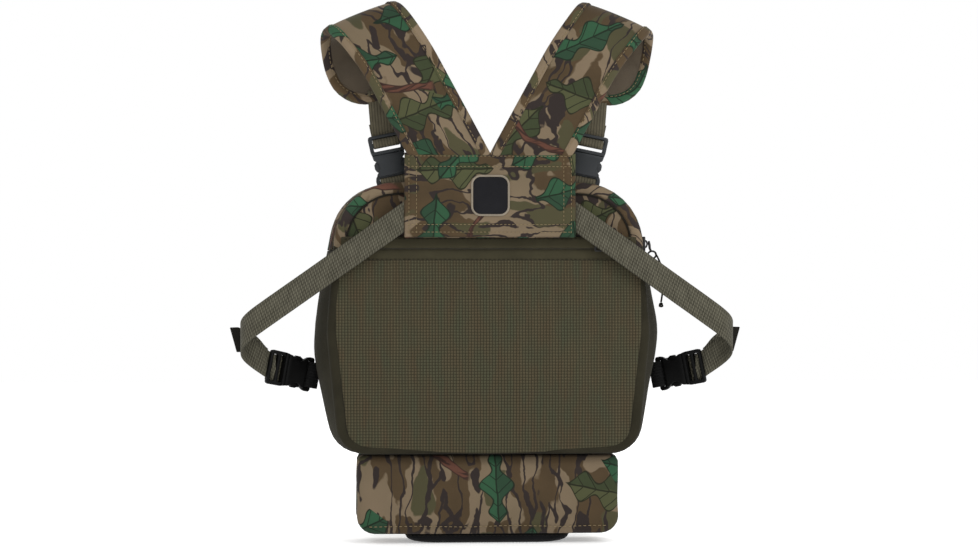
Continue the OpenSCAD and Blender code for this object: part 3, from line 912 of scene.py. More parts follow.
def tape_parts(inner, outer, thick):
    """Grid parts of a flat tape between two paths."""
    rows = []
    for a, b in zip(inner, outer):
        a, b = Vector(a), Vector(b)
        up = Vector((a.x, 0, a.z - 200)).normalized() * thick
        rows.append([a, b, b + up, a + up])
    return sealed(rows)


def add_main_zip():
    """Both sides of the zip that runs over the pack's top, sewn to pack and lid."""
    low = LID_LINE + 2
    n = RING
    pack_side = tape_parts(arch(3.6, 7.2, low, n, band_outline),
        arch(4.8, 11.6, low, n, band_outline), 0.8)
    teeth = tooth_parts(arch(4.4, 11.2, low, n, band_outline), 1.5)
    add("zip_tape_pack_side", merged(pack_side, *teeth), "tape", "pack", ["pack_zip_tape"])
    lid_side = tape_parts(arch(4.8, 13.9, low, n), arch(3.6, 18, low, n), 0.8)
    teeth = tooth_parts(arch(4.4, 14.7, low, n), -1.5)
    add("zip_tape_lid_side", merged(lid_side, *teeth), "tape", "lid", ["lid_zip_tape"])


# ---- back: panel, edge band, mesh and zip band ----

def panel_crown(x, z):
    """How far the padded mesh stands out at a place on the back."""
    return 4.2 * dome(x, z, 118, 150, 76) ** 0.8


def add_back():
    outline, centre = band_outline(6.3, RING), Vector((0, 170))
    panel = [upright(shrunk(outline, centre, keep), y) for keep, y in ((1, 4), (1, 0.7),
        (0.993, 0.05), (0.9, 0.05), (0.75, 0.05), (0.6, 0.05), (0.45, 0.05), (0.3, 0.05),
        (0.15, 0.05), (0.03, 0.05))]
    add("back_face", sealed(panel, flat_uv=True, shift=(31, 4)), "camo", "pack", ["back_panel"])
    add_edge_band()
    add_mesh_panel()
    add_back_zip()


def add_edge_band():
    """Soft welt round the back panel: camouflage over the lid line, plain below."""
    profile = [(8.6, 0.6), (8.5, -0.5), (7, -1.2), (4.6, -1.8), (2.2, -1.5), (0.6, -0.3),
        (-0.2, 1.8), (-0.3, 4.2), (0.4, 6.2), (1.4, 7.0), (6, 6.9)]
    n = RING * 2
    loops = [band_outline(d, n) for d, _ in profile]
    rows = []
    for i in range(n + 1):
        rows.append([(loop[i % n].x, y + wobble(loop[i % n].x, 0, loop[i % n].y, 22, 0.5),
            loop[i % n].y) for loop, (_, y) in zip(loops, profile)])
    parts = slanted(grid(rows, closed=True, shift=(17, 0)))
    verts, faces, _ = parts
    plain = [int(sum(verts[i][2] for i in f) / 4 <= LID_LINE + 2) for f in faces]
    add("edge_welt", parts, ["camo_binding", "olive"], "pack", ["back_edge_band"],
        face_mats=plain)
    # A dark line in the groove inside the welt: painted shade of the gap there.
    groove = upright(band_outline(9.3, n), -0.3)
    add("edge_groove_painted_shade", ring_tube(groove, 0.8, 6), "dark_thread", "pack")


def mesh_edge(n, inset):
    """Outline of the mesh: its bottom edge hangs in a shallow curve."""
    points = resampled(rounded(both_sides([(123 - inset, 228, 2), (122.5 - inset, 170, 60),
        (112 - inset, 79 + inset, 16)])), n)
    return [Vector((p.x, p.y - 5.6 * max(0, 1 - (p.x / 108) ** 2) * smooth((105 - p.y) / 25)))
        for p in points]


def add_mesh_panel():
    n = 200
    centre = Vector((0, 155))
    rows = [upright(mesh_edge(n, d), y) for d, y in ((0.3, -0.1), (0, -0.6), (0.2, -1.3),
        (0.9, -1.7))]
    keeps = [0.985 - 0.06 * k for k in range(17)]
    inner = mesh_edge(n, 0.9)
    for keep in keeps:
        rows.append([(p.x, -1.75 - panel_crown(p.x, p.y) - wobble(p.x, 0, p.y, 45, 0.5)
            * panel_crown(p.x, p.y) / 4, p.y) for p in shrunk(inner, centre, keep)])
    pad = add("mesh_back_pad", sealed(rows, flat_uv=True), "mesh", "pack", ["back_mesh_panel"])
    # A dark line along the mesh's lower edge: painted shade of the gap between mesh and gusset.
    low = upright([p for p in mesh_edge(n, 0) if p.y < 226], -0.5)
    low.sort(key=lambda p: math.atan2(p[0], -(p[2] - 160)))
    add("mesh_edge_painted_shade", tube(low, 0.7, 6), "dark_thread", "pack")


def flat_strip(x0, x1, z0, z1, y, thick, cuts=60, crown=0.0):
    """Grid parts of a level strip of cloth on the back, with soft edges."""
    rows = []
    for x in evenly(x0, x1, cuts):
        rows.append([(x, y + thick, z0), (x, y, z0 + 0.2),
            (x, y - crown * 0.7, lerp(z0, z1, 0.25)), (x, y - crown, (z0 + z1) / 2),
            (x, y - crown * 0.7, lerp(z0, z1, 0.75)), (x, y, z1 - 0.2), (x, y + thick, z1)])
    return sealed(rows)


def coil_parts(half, y, z, steps, radius):
    """Grid parts of a zip's coil along X, as a rippled thread."""
    return tube([(x, y, z) for x in evenly(-half, half, steps)],
        [radius + 0.12 * math.cos(k * 2.1) for k in range(steps + 1)], 6)


def add_back_zip():
    """Reverse-coil zip over the mesh pocket: two tapes that meet, and a hem."""
    lo, hi = own_box("back_zip_band")
    half = hi.x - 1
    upper = flat_strip(-half + 1.5, half - 1.5, BACK_ZIP_Z + 0.35, hi.z + 3, -1.5, 1.3,
        crown=0.35)
    lower = flat_strip(-half, half, lo.z, BACK_ZIP_Z - 0.35, -1.5, 1.3, crown=0.5)
    add("back_zip_tapes", merged(upper, lower), "zip_band", "pack", ["back_zip_band"])
    add("back_zip_coil", coil_parts(half - 2, -0.9, BACK_ZIP_Z, 110, 0.55), "coil", "pack")
    rows = [[(-half + 4, -2.2, lo.z + 2.0), (half - 4, -2.2, lo.z + 2.0)],
        [(-half + 4, -2.0, hi.z + 1.2), (half - 4, -2.0, hi.z + 1.2)]]
    stitches("back_zip_stitches", rows, "pack", "dark_thread", radius=0.25)


# ---- front pocket, pouch, flap ----

def add_front_pocket():
    lo, hi = POCKET_LO, POCKET_HI
    face = hi.y
    zip_z = sum(c.z for c in own_box("front_zip_band")) / 2

    def crown(x, z):
        full = dome(x, z, 100, 146, 58)
        return 3.6 * full ** 0.7 + wobble(x, 0, z, 30, 0.7) * full

    ys = [(lo.y, 0.4), (103, -0.3), (108, -0.5), (112, -0.2), (115, 0.9), (117, 3),
        (face - 0.1, 6.5), (face, 9)]
    rows = []
    for y, d in ys:
        outline = plate_outline(lo.x + d, hi.x - d, lo.z + d, hi.z - d, 22 - d, 128)
        rows.append(upright(outline, y))
    centre = Vector(((lo.x + hi.x) / 2, (lo.z + hi.z) / 2))
    for keep in (0.94, 0.86, 0.76, 0.64, 0.5, 0.36, 0.2, 0.05):
        rows.append([(p.x, face + crown(p.x, p.y), p.y) for p in shrunk(outline, centre, keep)])
    add("front_pocket_body", sealed(rows, flat_uv=True, shift=(50, 9)), "camo", "pack",
        ["front_pocket"])
    half = own_box("front_zip_band")[1].x
    tapes = [flat_strip(-half, half, zip_z + s0, zip_z + s1, -face - 0.3, 0.3, 50)
        for s0, s1 in ((0.4, 4.6), (-4.6, -0.4))]
    tapes = [moved(t, lambda v: Vector((v.x, -v.y, v.z))) for t in tapes]
    add("front_zip_tapes", merged(*tapes), "tape", "pack", ["front_zip_band"])
    add("front_zip_coil", coil_parts(half - 1, face + 0.1, zip_z, 90, 0.6), "coil", "pack")
    rows = [[(-half, face + 0.3, zip_z + s * 6.0), (half, face + 0.3, zip_z + s * 6.0)]
        for s in (-1, 1)]
    stitches("front_pocket_stitches", rows, "pack")
    loop = plate_outline(lo.x + 1.4, hi.x - 1.4, lo.z + 1.4, hi.z - 1.4, 20.6, 96)
    add("front_pocket_piping", ring_tube(upright(loop, 115.8), 1.3), "tape", "pack")


def add_pouch():
    """Lower pouch: a soft box with a slot behind its flap."""
    lo, hi = POUCH_LO, POUCH_HI
    n = 128
    top = PACK_BOTTOM - 0.6

    def outline(d):
        over, under = max(1, 6 - d), max(2, 15 - d)
        return resampled(rounded([(lo.x + d, top - d, over), (hi.x - d, top - d, over),
            (hi.x - d, lo.z + d, under), (lo.x + d, lo.z + d, under)]), n)

    def row(d, y):
        return [(p.x * (1 + wobble(0, y, p.y, 24, 0.012, 3)), y, p.y) for p in outline(d)]

    centre = Vector((0, (lo.z + hi.z) / 2))

    def crown(x, z):
        full = dome(x, z, 104, 40, 34)
        return 2.4 * full ** 0.6 + wobble(x, 5, z, 26, 1.5) * full

    rows = [[(p.x, lo.y - crown(p.x, p.y), p.y) for p in shrunk(outline(5), centre, k)]
        for k in (0.04, 0.2, 0.36, 0.52, 0.68, 0.82, 0.93)]
    rows += [row(5, lo.y), row(2.4, lo.y + 0.5), row(0.8, lo.y + 2), row(0, lo.y + 4.5)]
    rows += [row(-0.4, y) for y in (18, 26, 34, 42, 50, 58)]
    rows += [row(0, 65), row(0.8, 67.6), row(2.4, 69.2), row(5, hi.y)]
    slot = plate_outline(-92, 92, 21, 61, 4, n)
    rows += [upright(slot, hi.y)]
    flat_rim = 11

    def uv(i, j):
        p = rows[i][j % n]
        if i < flat_rim:
            return p[0], p[2]
        reach = rows[i][0][1] - lo.y
        toward = 1 if p[2] > 40 else -1
        return p[0], p[2] + toward * reach

    parts = grid(rows, True, (True, False), uv=uv, shift=(-6, 7.5))
    pouch = make("pouch_body", parts, ["camo", "lining"])
    finish_piece(walled(pouch, 1.8, material_offset=1), "pack", ["pouch_shell"])
    seam = [(x, lo.y - 0.35 - crown(x, HEM_Z), HEM_Z + wobble(x, 0, 0, 40, 0.8))
        for x in evenly(-96, 96, 60)]
    stitches("pouch_hem_stitches", [seam], "pack", dash=2.4, gap=1.6)
    add_pouch_base()
    add_flap()


def add_pouch_base():
    """Black coated foot under the pouch, rounded underneath."""
    lo, hi = BASE_LO, BASE_HI
    rows = []
    for z, d in ((hi.z + 0.6, 1.5), (hi.z - 1, 0), (6.0, 0), (4.2, 0.8), (2.6, 2.8), (1.3, 6),
                 (0.5, 10), (0.1, 14), (0, 18)):
        outline = plate_outline(lo.x + d, hi.x - d, lo.y + d * 0.5, hi.y - d * 0.5, 12, 96)
        rows.append([(p.x, p.y, z) for p in outline])
    add("pouch_foot", sealed(rows), "black_cloth", "pack", ["pouch_base"])
    seam = plate_outline(lo.x - 0.2, hi.x + 0.2, lo.y - 0.2, hi.y + 0.2, 12, 120)
    path = [(p.x, p.y, 6.4) for p in seam] + [(seam[0].x, seam[0].y, 6.4)]
    stitches("pouch_foot_stitches", [path], "pack", "dark_thread")


def pillow(lo, hi, nx, nz, front, back, shift=(0, 0), power=14):
    """Grid parts of a soft plate in X and Z. front and back give its two faces' y
    at (x, z), and the faces meet in round edges."""
    def sheet(face):
        rows = []
        for b in evenly(-1, 1, nz):
            bb = math.sin(b * math.pi / 2)
            row = []
            for a in evenly(-1, 1, nx):
                aa = math.sin(a * math.pi / 2)
                x = lerp(lo.x, hi.x, aa / 2 + 0.5)
                z = lerp(lo.z, hi.z, bb / 2 + 0.5)
                full = ((1 - abs(aa) ** power) * (1 - abs(bb) ** power)) ** 0.5
                mid = (front(x, z) + back(x, z)) / 2
                row.append((x, lerp(mid, face(x, z), full), z))
            rows.append(row)
        return grid(rows, flat_uv=True, shift=shift)
    return merged(sheet(front), sheet(back))


def weld(obj):
    with edited(obj.data) as bm:
        bmesh.ops.remove_doubles(bm, verts=bm.verts, dist=0.00002)
        bmesh.ops.recalc_face_normals(bm, faces=bm.faces)
    return obj


def add_flap():
    lo, hi = FLAP_LO, FLAP_HI

    def face(x, z):
        return hi.y + 0.5 * wobble(x, 0, z, 22, 1.2, 2)

    flap = weld(make("pouch_flap_cloth", pillow(lo, hi, 60, 20, face, lambda x, z: lo.y,
        (14, 30)), "camo"))
    finish_piece(flap, "flap", ["pouch_flap"])
    edge = [(lo.x + 3.5, hi.y + 0.25, hi.z - 6), (lo.x + 3.5, hi.y + 0.25, lo.z + 3.5),
        (hi.x - 3.5, hi.y + 0.25, lo.z + 3.5), (hi.x - 3.5, hi.y + 0.25, hi.z - 6)]
    stitches("pouch_flap_stitches", [edge], "flap")
    roll_lo, roll_hi = own_box("pouch_hinge_roll")
    axis_y = (roll_lo.y + roll_hi.y) / 2
    axis_z = (roll_lo.z + roll_hi.z) / 2
    profile = [(axis_y - 0.9 + 1.9 * math.cos(t), axis_z + 4.6 * math.sin(t) - 1.4)
        for t in evenly(-1.5, 1.5, 12)]
    fold = make("flap_hinge_fold", fold_parts(92, 36, profile, 0.8), "tape")
    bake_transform(fold)
    finish_piece(fold, None, ["pouch_hinge_roll"])


def add_inside():
    """Side wings and the padded floor inside the main compartment."""
    for side, tag in ((1, "right"), (-1, "left")):
        lo, hi = own_box("side_wings")
        rows = []
        for y in evenly(lo.y, hi.y, 16):
            rows.append([(hi.x - 1.4 + 1.2 * math.sin((y - lo.y) / 8) * smooth((z - 190) / 60)
                * 0.5, y, z) for z in evenly(lo.z, hi.z, 24)])
        wing = make("side_wing_" + tag, grid(rows), "lining", side=side, outward=False)
        finish_piece(walled(wing, 0.9, offset=0), "pack", ["side_wings"] if side > 0 else ())
    lo, hi = own_box("floor_pad")
    lo, hi = Vector((lo.x, lo.z, lo.y)), Vector((hi.x, hi.z, hi.y))
    parts = pillow(lo, hi, 30, 14, lambda x, y: hi.y + 0.2, lambda x, y: lo.y)
    parts = moved(parts, lambda v: Vector((v.x, v.z, v.y)))
    pad = weld(make("floor_cushion", parts, "lining"))
    finish_piece(pad, "pack", ["floor_pad"])


# ---- straps that run, turn over a round fold and run on ----

class Ribbon:
    """A flat strap's route: a straight run, a turn of a radius about a fold line
    leaning across the strap, and a straight end."""

    def __init__(self, start, run, radius, lean, fold, turned, yaw=0.0):
        self.start = Vector(start)
        self.run = run
        self.radius = radius
        self.skew = math.radians(lean - fold)
        self.fold = math.radians(fold)
        self.turned = math.radians(turned)
        self.arc = radius * self.turned / math.cos(self.skew)
        self.spin = Matrix.Rotation(math.radians(yaw), 3, "Z")
        self.up = Vector((math.sin(self.fold), 0, math.cos(self.fold)))
        self.axis = Vector((math.cos(self.fold), 0, -math.sin(self.fold)))

    def heading(self, t):
        up = self.up * math.cos(t) + Vector((0, math.sin(t), 0))
        return self.axis * math.sin(self.skew) + up * math.cos(self.skew)

    def normal(self, t):
        return self.up * math.sin(t) - Vector((0, math.cos(t), 0))

    def turn(self, s):
        return min(self.turned, max(0, (s - self.run) * math.cos(self.skew) / self.radius))

    def centre(self, s):
        t = self.turn(s)
        arc = self.radius * t / math.cos(self.skew)
        return (self.heading(0) * min(s, self.run) + self.axis * (math.sin(self.skew) * arc)
            + (self.up * math.sin(t) + Vector((0, 1 - math.cos(t), 0))) * self.radius
            + self.heading(t) * (s - min(s, self.run) - arc))

    def point(self, s, u, n, cut=None):
        """The point at distance s, u across the strap and n above its face. Rings are
        cut along the fold line, or along cut near the strap's sewn start."""
        cut = cut or self.axis
        go = self.heading(self.turn(s))
        side = cut / (cut - go * cut.dot(go)).length
        p = self.centre(s) + side * u + self.normal(self.turn(s)) * n
        return self.start + self.spin @ p


PAD_NEAR = 105
PAD = Ribbon((33, -15, 312.4), PAD_NEAR, 22, 28.5, 22, 200)
PAD_TURNED = PAD_NEAR + PAD.arc
PAD_END = PAD_TURNED + 38
PAD_ROUND = 30  # the radius of the corners at the pad's end
PAD_SEWN = 26  # how far from the yoke its level cut has turned into the pad's own
SIDE_NEAR = 141.3
SIDE_STRAP = Ribbon((YOKE_HI.x + 0.4, -15, 262), SIDE_NEAR, 16, 125, 90.4, 180, yaw=6)
SIDE_END = SIDE_NEAR + SIDE_STRAP.arc + 0.3
TAIL_START = 3.4
TAIL_RUN = 27.6


def pad_point(s, u, n):
    """As Ribbon.point, for a pad cut in a curve: past its middle it drifts to its
    outer side. Its sewn end is cut level and sinks into the yoke's seam."""
    if s >= PAD_SEWN:
        sway = 13 * smooth((s - 75) / (PAD_TURNED - 75)) - 5 * smooth((s - PAD_END) / 45 + 1)
        return PAD.point(s, u + sway, n)
    n *= lerp(0.3, 1, smooth((s + 7) / 13))
    level = PAD.point(min(s, 0), u, n, Vector((1, 0, 0)))
    return level.lerp(PAD.point(PAD_SEWN, u, n), max(s, 0) / PAD_SEWN)


def pad_half(s, inset=0.0):
    """Half the pad's width at s, inset evenly from its edge."""
    full = 57 + 5 * smooth((s - 0.7 * PAD_NEAR) / (PAD_TURNED - 0.7 * PAD_NEAR))
    left = PAD_END - s
    if left >= PAD_ROUND:
        return full / 2 - inset
    reach = (PAD_ROUND - inset) ** 2 - (PAD_ROUND - left) ** 2
    return full / 2 - PAD_ROUND + math.sqrt(max(0, reach))


def pad_stations(inset):
    """Distances of the pad's rings, closer in its turn and at its round end."""
    last = PAD_END - inset
    straight = [-6, -3, 0, 3] + evenly(8, PAD_NEAR, 14) + evenly(PAD_NEAR + 4, PAD_TURNED, 30)
    round_start = PAD_END - PAD_ROUND
    straight += evenly(PAD_TURNED + 4, round_start, 2)
    return straight + [round_start + (last - round_start) * math.sin(math.radians(a))
        for a in (10, 22, 34, 46, 57, 67, 76, 84, 90)]


def pad_sheet(inset, across, height):
    """Rows of one face of a pad."""
    rows = []
    for s in pad_stations(inset):
        half = pad_half(s, inset)
        rows.append([pad_point(s, half * a, height(s, a)) for a in across])
    return rows


def pad_rim(inset):
    """(s, u) points round the pad's edge, up one side, over the end and down."""
    right = [(s, pad_half(s, inset)) for s in pad_stations(inset)]
    left = [(s, -u) for s, u in reversed(right)]
    return right + left[0 if right[-1][1] > 0.5 else 1:]


def pad_top(s, a):
    """Height of the pad's outer face: a foam crown that falls to its binding."""
    wave = 0.35 * math.sin(s / 17) * (1 - a * a)
    return 3.7 + 0.9 * (1 - a * a) - 1.0 * abs(a) ** 6 + wave


def add_pad(side, tag, shift):
    across = [math.sin(t) for t in evenly(-math.pi / 2, math.pi / 2, 16)]
    outer = pad_sheet(0.5, across, pad_top)
    inner = pad_sheet(0.5, across, lambda s, a: -1.6)
    stations = pad_stations(0.5)
    wide = len(across)

    def loop_uv(i, j):
        k = j % (2 * wide)
        k = k if k < wide else 2 * wide - 1 - k
        return pad_half(stations[i], 0.5) * across[k] * side, stations[i]

    loops = [o + i[::-1] for o, i in zip(outer, inner)]
    parts = sealed(loops, uv=loop_uv, shift=shift)
    pad = add("padded_strap_" + tag, parts, "camo", "harness", ["shoulder_pad_" + tag],
        side=side)
    skin_out = pad_sheet(2.0, across, lambda s, a: -1.9 - 0.7 * (1 - a * a))
    skin_in = pad_sheet(2.0, across, lambda s, a: -1.65)
    loops = [o + i[::-1] for o, i in zip(skin_out, skin_in)]
    parts = sealed(loops, uv=loop_uv, shift=(4, 9))
    add("strap_lining_" + tag, parts, "lining", "harness", ["pad_lining_" + tag], side=side)
    add_pad_binding(side, tag, shift)


def add_pad_binding(side, tag, shift):
    """Camouflage tape folded over the pad's edge, with its row of stitches."""
    profile = [(6.9, -2.2), (6.6, -2.75), (3.5, -3.0), (1, -2.8), (-0.5, -1.6), (-0.9, 0.4),
        (-0.6, 2.2), (0.8, 3.6), (3.5, 4.5), (6.4, 4.75), (6.9, 4.1)]
    rims = [pad_rim(max(d, -0.8)) for d, _ in profile]
    rows = []
    for i in range(len(rims[0])):
        rows.append([pad_point(rim[i][0], rim[i][1], n) for rim, (_, n) in zip(rims, profile)])
    parts = slanted(sealed(rows, shift=(shift[0] + 12, shift[1])))
    add("strap_binding_" + tag, parts, "camo_binding", "harness", side=side)
    paths = [[pad_point(s, u, n) for s, u in pad_rim(5.2) if s > 0] for n in (4.85, -3.05)]
    stitches("strap_binding_stitches_" + tag, paths, "harness", "thread", side=side,
        radius=0.28)


def web_ring(at, half, n0, n1):
    """Ring of 12 points round webbing between heights n0 and n1, from at(u, n)."""
    spread = (-0.97, -0.5, 0, 0.5, 0.97)
    return ([at(half * a, n1) for a in spread] + [at(half, (n0 + n1) / 2)]
        + [at(half * a, n0) for a in reversed(spread)] + [at(-half, (n0 + n1) / 2)])


def web_uv(rows):
    """Webbing map: u across the strap from its edge, v along it."""
    offsets = [0.3, 5, 10, 15, 19.7, 20, 19.7, 15, 10, 5, 0.3, 0]
    run = [0.0]
    for a, b in zip(rows, rows[1:]):
        run.append(run[-1] + (Vector(b[2]) - Vector(a[2])).length)

    def at(i, j):
        return offsets[j % 12], run[i]
    return at


def web_parts(rows):
    return sealed(rows, uv=web_uv(rows))


def web_along(path, widths, half, thick):
    """Grid parts of webbing along a path, given its width's direction at each point."""
    rows = []
    for i, (p, w) in enumerate(zip(path, widths)):
        up = direction(path, i).cross(w).normalized()
        rows.append(web_ring(lambda u, n: p + w * u + up * n, half, -thick / 2, thick / 2))
    return web_parts(rows)


def at_top_buckle(v):
    spin = Matrix.Rotation(math.radians(TOP_BUCKLE_LEAN), 3, "Y")
    return TOP_BUCKLE + spin @ v


def at_side_buckle(v):
    spin = (Matrix.Rotation(math.radians(-SIDE_BUCKLE_TURN), 3, "Z")
        @ Matrix.Rotation(math.radians(90 - SIDE_BUCKLE_RISE), 3, "Y"))
    return SIDE_BUCKLE + spin @ v


def add_top_webbing(side, tag):
    """From inside the pad's end down to the ladder, round its bar and up again."""
    head = pad_point(PAD_END, 0, 0) + Vector((0, 0, 7))
    local = [(0, 3.2, 42), (0, 3.3, 39.4), (0, 2.6, 37.4), (0, -0.5, 36.5), (0, -3, 35.4),
        (0, -3.5, 34), (0, -3.6, 32.4), (0, -3, 30.9), (0, -0.5, 30.2), (0, 2.7, 30.6),
        (0, 3.6, 32.6), (0, 4.1, 35), (0, 4.8, 38), (0, 4.9, 44), (0, 4.4, 50)]
    bent = [at_top_buckle(Vector(p)) for p in local]
    lean = math.radians(TOP_BUCKLE_LEAN)
    across = Vector((math.cos(lean), 0, -math.sin(lean)))
    path = [head.lerp(bent[0], t) for t in evenly(0, 1, 8)] + bent[1:]
    widths = [Vector((1, 0, 0)).lerp(across, smooth(i / 8)).normalized()
        for i in range(len(path))]
    parts = web_along(path, widths, WEB_W / 2 + 0.5, 1.3)
    add("top_strap_" + tag, parts, "ribbed_webbing", "harness", ["top_webbing_" + tag],
        side=side)


def add_side_strap(side, tag):
    """Side strap from the yoke, round its outer fold and into the side buckle."""
    stations = [0] + evenly(6, SIDE_NEAR, 30) + evenly(144, SIDE_END, 24)
    rows = []
    for s in stations:
        cut = Vector((0, 0, -1)).lerp(SIDE_STRAP.axis, smooth(s / 20)).normalized()
        sway = abs(math.sin(s / 30)) * smooth((150 - s) / 20)

        def at(u, n):
            return SIDE_STRAP.point(s, u, n + sway, cut)
        rows.append(web_ring(at, WEB_W / 2, -0.75, 0.75))
    onward = SIDE_STRAP.spin @ SIDE_STRAP.heading(SIDE_STRAP.turned)
    behind = at_side_buckle(Vector((0, 1, 0))) - SIDE_BUCKLE
    rows += [[p + onward * k + behind * b for p in rows[-1]] for k, b in ((2, 1), (4, 2.5),
        (6, 3.3), (9, 3.5), (13, 3.5))]
    strap = make("side_webbing_" + tag, web_parts(rows), "webbing", side=side)
    start = SIDE_STRAP.point(0, 0, 0)
    end = SIDE_STRAP.point(110, 0, 0)
    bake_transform(strap)
    finish_piece(strap, None, ["side_strap_" + tag])
    add_strap_tail(side, tag)


def add_strap_tail(side, tag):
    """The strap's free end past the ladder, with a folded dark hem."""
    back = -SIDE_STRAP.heading(SIDE_STRAP.turned)
    square_cut = Vector((0, 1, 0)).cross(back)
    across = SIDE_STRAP.spin @ square_cut
    back = SIDE_STRAP.spin @ back

    def tail(k, u, n):
        """It bows upwards behind the strap and its end hangs out level."""
        twist = 0.87 * smooth((k - 10) / 14)
        bow = 5 * math.sin(math.pi * ((k - TAIL_START) / TAIL_RUN) ** 1.6)
        lift = 0.9 * smooth((k - 14) / 18)
        p = SIDE_STRAP.point(SIDE_END, 0, n + lift, square_cut) + back * k - across * bow
        return p + (across * math.cos(twist) - back * math.sin(twist)) * u

    def ring(k, half, n0, n1):
        return web_ring(lambda u, n: tail(k, u, n), half, n0, n1)

    rows = [ring(k, 10, 1.3, 2.7) for k in evenly(TAIL_START, 24, 8)]
    add("strap_end_" + tag, web_parts(rows), "webbing", "pack", ["strap_tail_" + tag],
        side=side)
    local = [(0, 3.4, 39.2), (0, 3.1, 35), (0, 3.1, 31), (0, 2.9, 28), (0, 3.6, 26)]
    web_loop("side_strap_loop_" + tag, at_side_buckle, local, 10.7, 1.1, "webbing", "pack", (),
        side)
    rows = [ring(k, h, n0, n1) for k, h, n0, n1 in ((22, 10, 1.2, 2.9), (22.3, 10.3, 0.5, 3.6),
        (26, 10.4, 0.4, 3.7), (30.6, 10.4, 0.4, 3.7), (31, 10.2, 1.0, 3.1))]
    add("strap_end_hem_" + tag, web_parts(rows), "hem", "pack", side=side)
    paths = [[tail(k, u, 3.8) for u in evenly(-9, 9, 6)] for k in (24, 28.5)]
    stitches("strap_end_stitches_" + tag, paths, "pack", "patch_border", side=side, radius=0.25,
        dash=1.8, gap=1.0)


# ---- buckles ----

def rim(points):
    """Outline symmetric about x = 0 from the (x, z) points of its right side."""
    return points + [(-x, z) for x, z in reversed(points)]


def hole(x, z0, z1, r=1.0):
    return rounded([(-x, z0, r), (x, z0, r), (x, z1, r), (-x, z1, r)], 4)


def socket_parts():
    """Female half: two shaped plates and side rails round the prongs' cavity, and
    a bar at the foot for its webbing."""
    plate = rim([(11.8, 7.4), (12, 9), (10.4, 11), (8.8, 13.6), (8.8, 16.8), (10.6, 19),
        (12.2, 21), (13, 24.2)])
    front = slab_parts([plate], -4.6, -2.7, 0.6)
    back = slab_parts([plate], 2.7, 4.6, 0.6)
    front = moved(front, lambda v: Vector((v.x, v.y + 0.5 * (v.x / 12) ** 2, v.z)))
    collar = slab_parts([rim([(12.2, 20.4), (12.6, 21.4), (13, 24.1)]),
        rounded([(-9.9, 21, 0.2), (9.9, 21, 0.2), (9.9, 23.2, 0.2), (-9.9, 23.2, 0.2)], 2)],
        -3.6, 3.6, 0.5)
    foot = slab_parts([rim([(12.6, 0), (13.9, 1.2), (14, 4), (13.4, 6.4), (11.8, 8.8),
        (11, 9.6)]), hole(10.6, 2.6, 5.6)], -1.9, 1.9, 0.7)
    root = block_parts((-11.2, -4.2, 6.8), (11.2, 4.2, 9.4), 1.1)
    return [front, back, collar, foot, root]


def latch_parts():
    """Male half: the ladder that holds the strap, and its guide tongue."""
    ladder = slab_parts([rim([(13.1, 24.5), (13.8, 27), (14, 37.6), (13.4, 39.4), (12, 40)]),
        hole(10.8, 27.3, 30.6), hole(10.8, 33.4, 37.4)], -2.3, 2.3, 0.8)
    ladder = moved(ladder, lambda v: Vector((v.x, v.y * (1 - 0.1 * (v.z - 32) / 8), v.z)))
    tongue = slab_parts([rim([(1.6, 11), (2.4, 13), (2.4, 26)])], -2.1, 2.1, 0.6)
    lip = slab_parts([rim([(13.1, 24.4), (13.6, 27.2)])], -4.6, 4.4, 0.7)
    return [ladder, tongue, lip]


def prong_parts():
    """Spring prong on the +x side with its ribbed thumb pad."""
    arm = [(6.1, 21.6), (5.8, 11.4), (8.8, 10.2), (11.2, 10.9), (12.3, 12.3), (12.8, 14),
        (12.9, 15.6), (12.6, 17.2), (11.8, 18.6), (9.6, 19.8), (9, 21.6)]
    parts = [slab_parts([arm], -2.1, 2.1, 0.6)]
    root = rounded([(5.9, 20.6, 1.5), (9.1, 20.6, 1.5), (9.1, 23.6, 1.5), (5.9, 23.6, 1.5)], 6)
    parts.append(slab_parts([root], -2.1, 2.1, 0.6))
    parts += [block_parts((12.2, -1.7, z - 0.25), (13.0, 1.7, z + 0.25), 0.15) for z in (13.4,
        14.3, 15.2, 16.1, 17)]
    return parts


def add_moulded(name, parts, material, body, node, side=1):
    """A moulded piece, shaded smooth only across its shallow edges."""
    piece = make(name, parts, material, side=side)
    with edited(piece.data) as bm:
        for e in bm.edges:
            if len(e.link_faces) == 2 and e.calc_face_angle(0) > CREASE_ANGLE:
                e.smooth = False
    finish_piece(piece, body, [node])


def add_buckle(place, side, prefix, tag, body, outer, inner, material):
    """One buckle, closed. outer and inner name its prongs."""
    for kind, parts in (("socket", socket_parts()), ("latch", latch_parts())):
        add_moulded(f"{prefix}_buckle_{kind}_{tag}", moved(merged(*parts), place), material,
            body, f"{prefix}_{kind}_{tag}", side)
    for name, sign in ((outer, 1), (inner, -1)):
        parts = moved(merged(*prong_parts()), lambda v: place(Vector((sign * v.x, v.y, v.z))))
        prong = f"{prefix}_prong_{tag}_{name}"
        add_moulded(f"{prefix}_catch_{tag}_{name}", parts, material, prong, prong, side)


def web_loop(name, place, local, half, thick, material, body, nodes, side):
    """Webbing bent along points given in a buckle's own frame."""
    path = [place(Vector(p)) for p in local]
    across = (place(Vector((1, 0, 0))) - place(Vector())).normalized()
    parts = web_along(path, [across] * len(path), half, thick)
    add(name, parts, material, body, nodes, side=side)


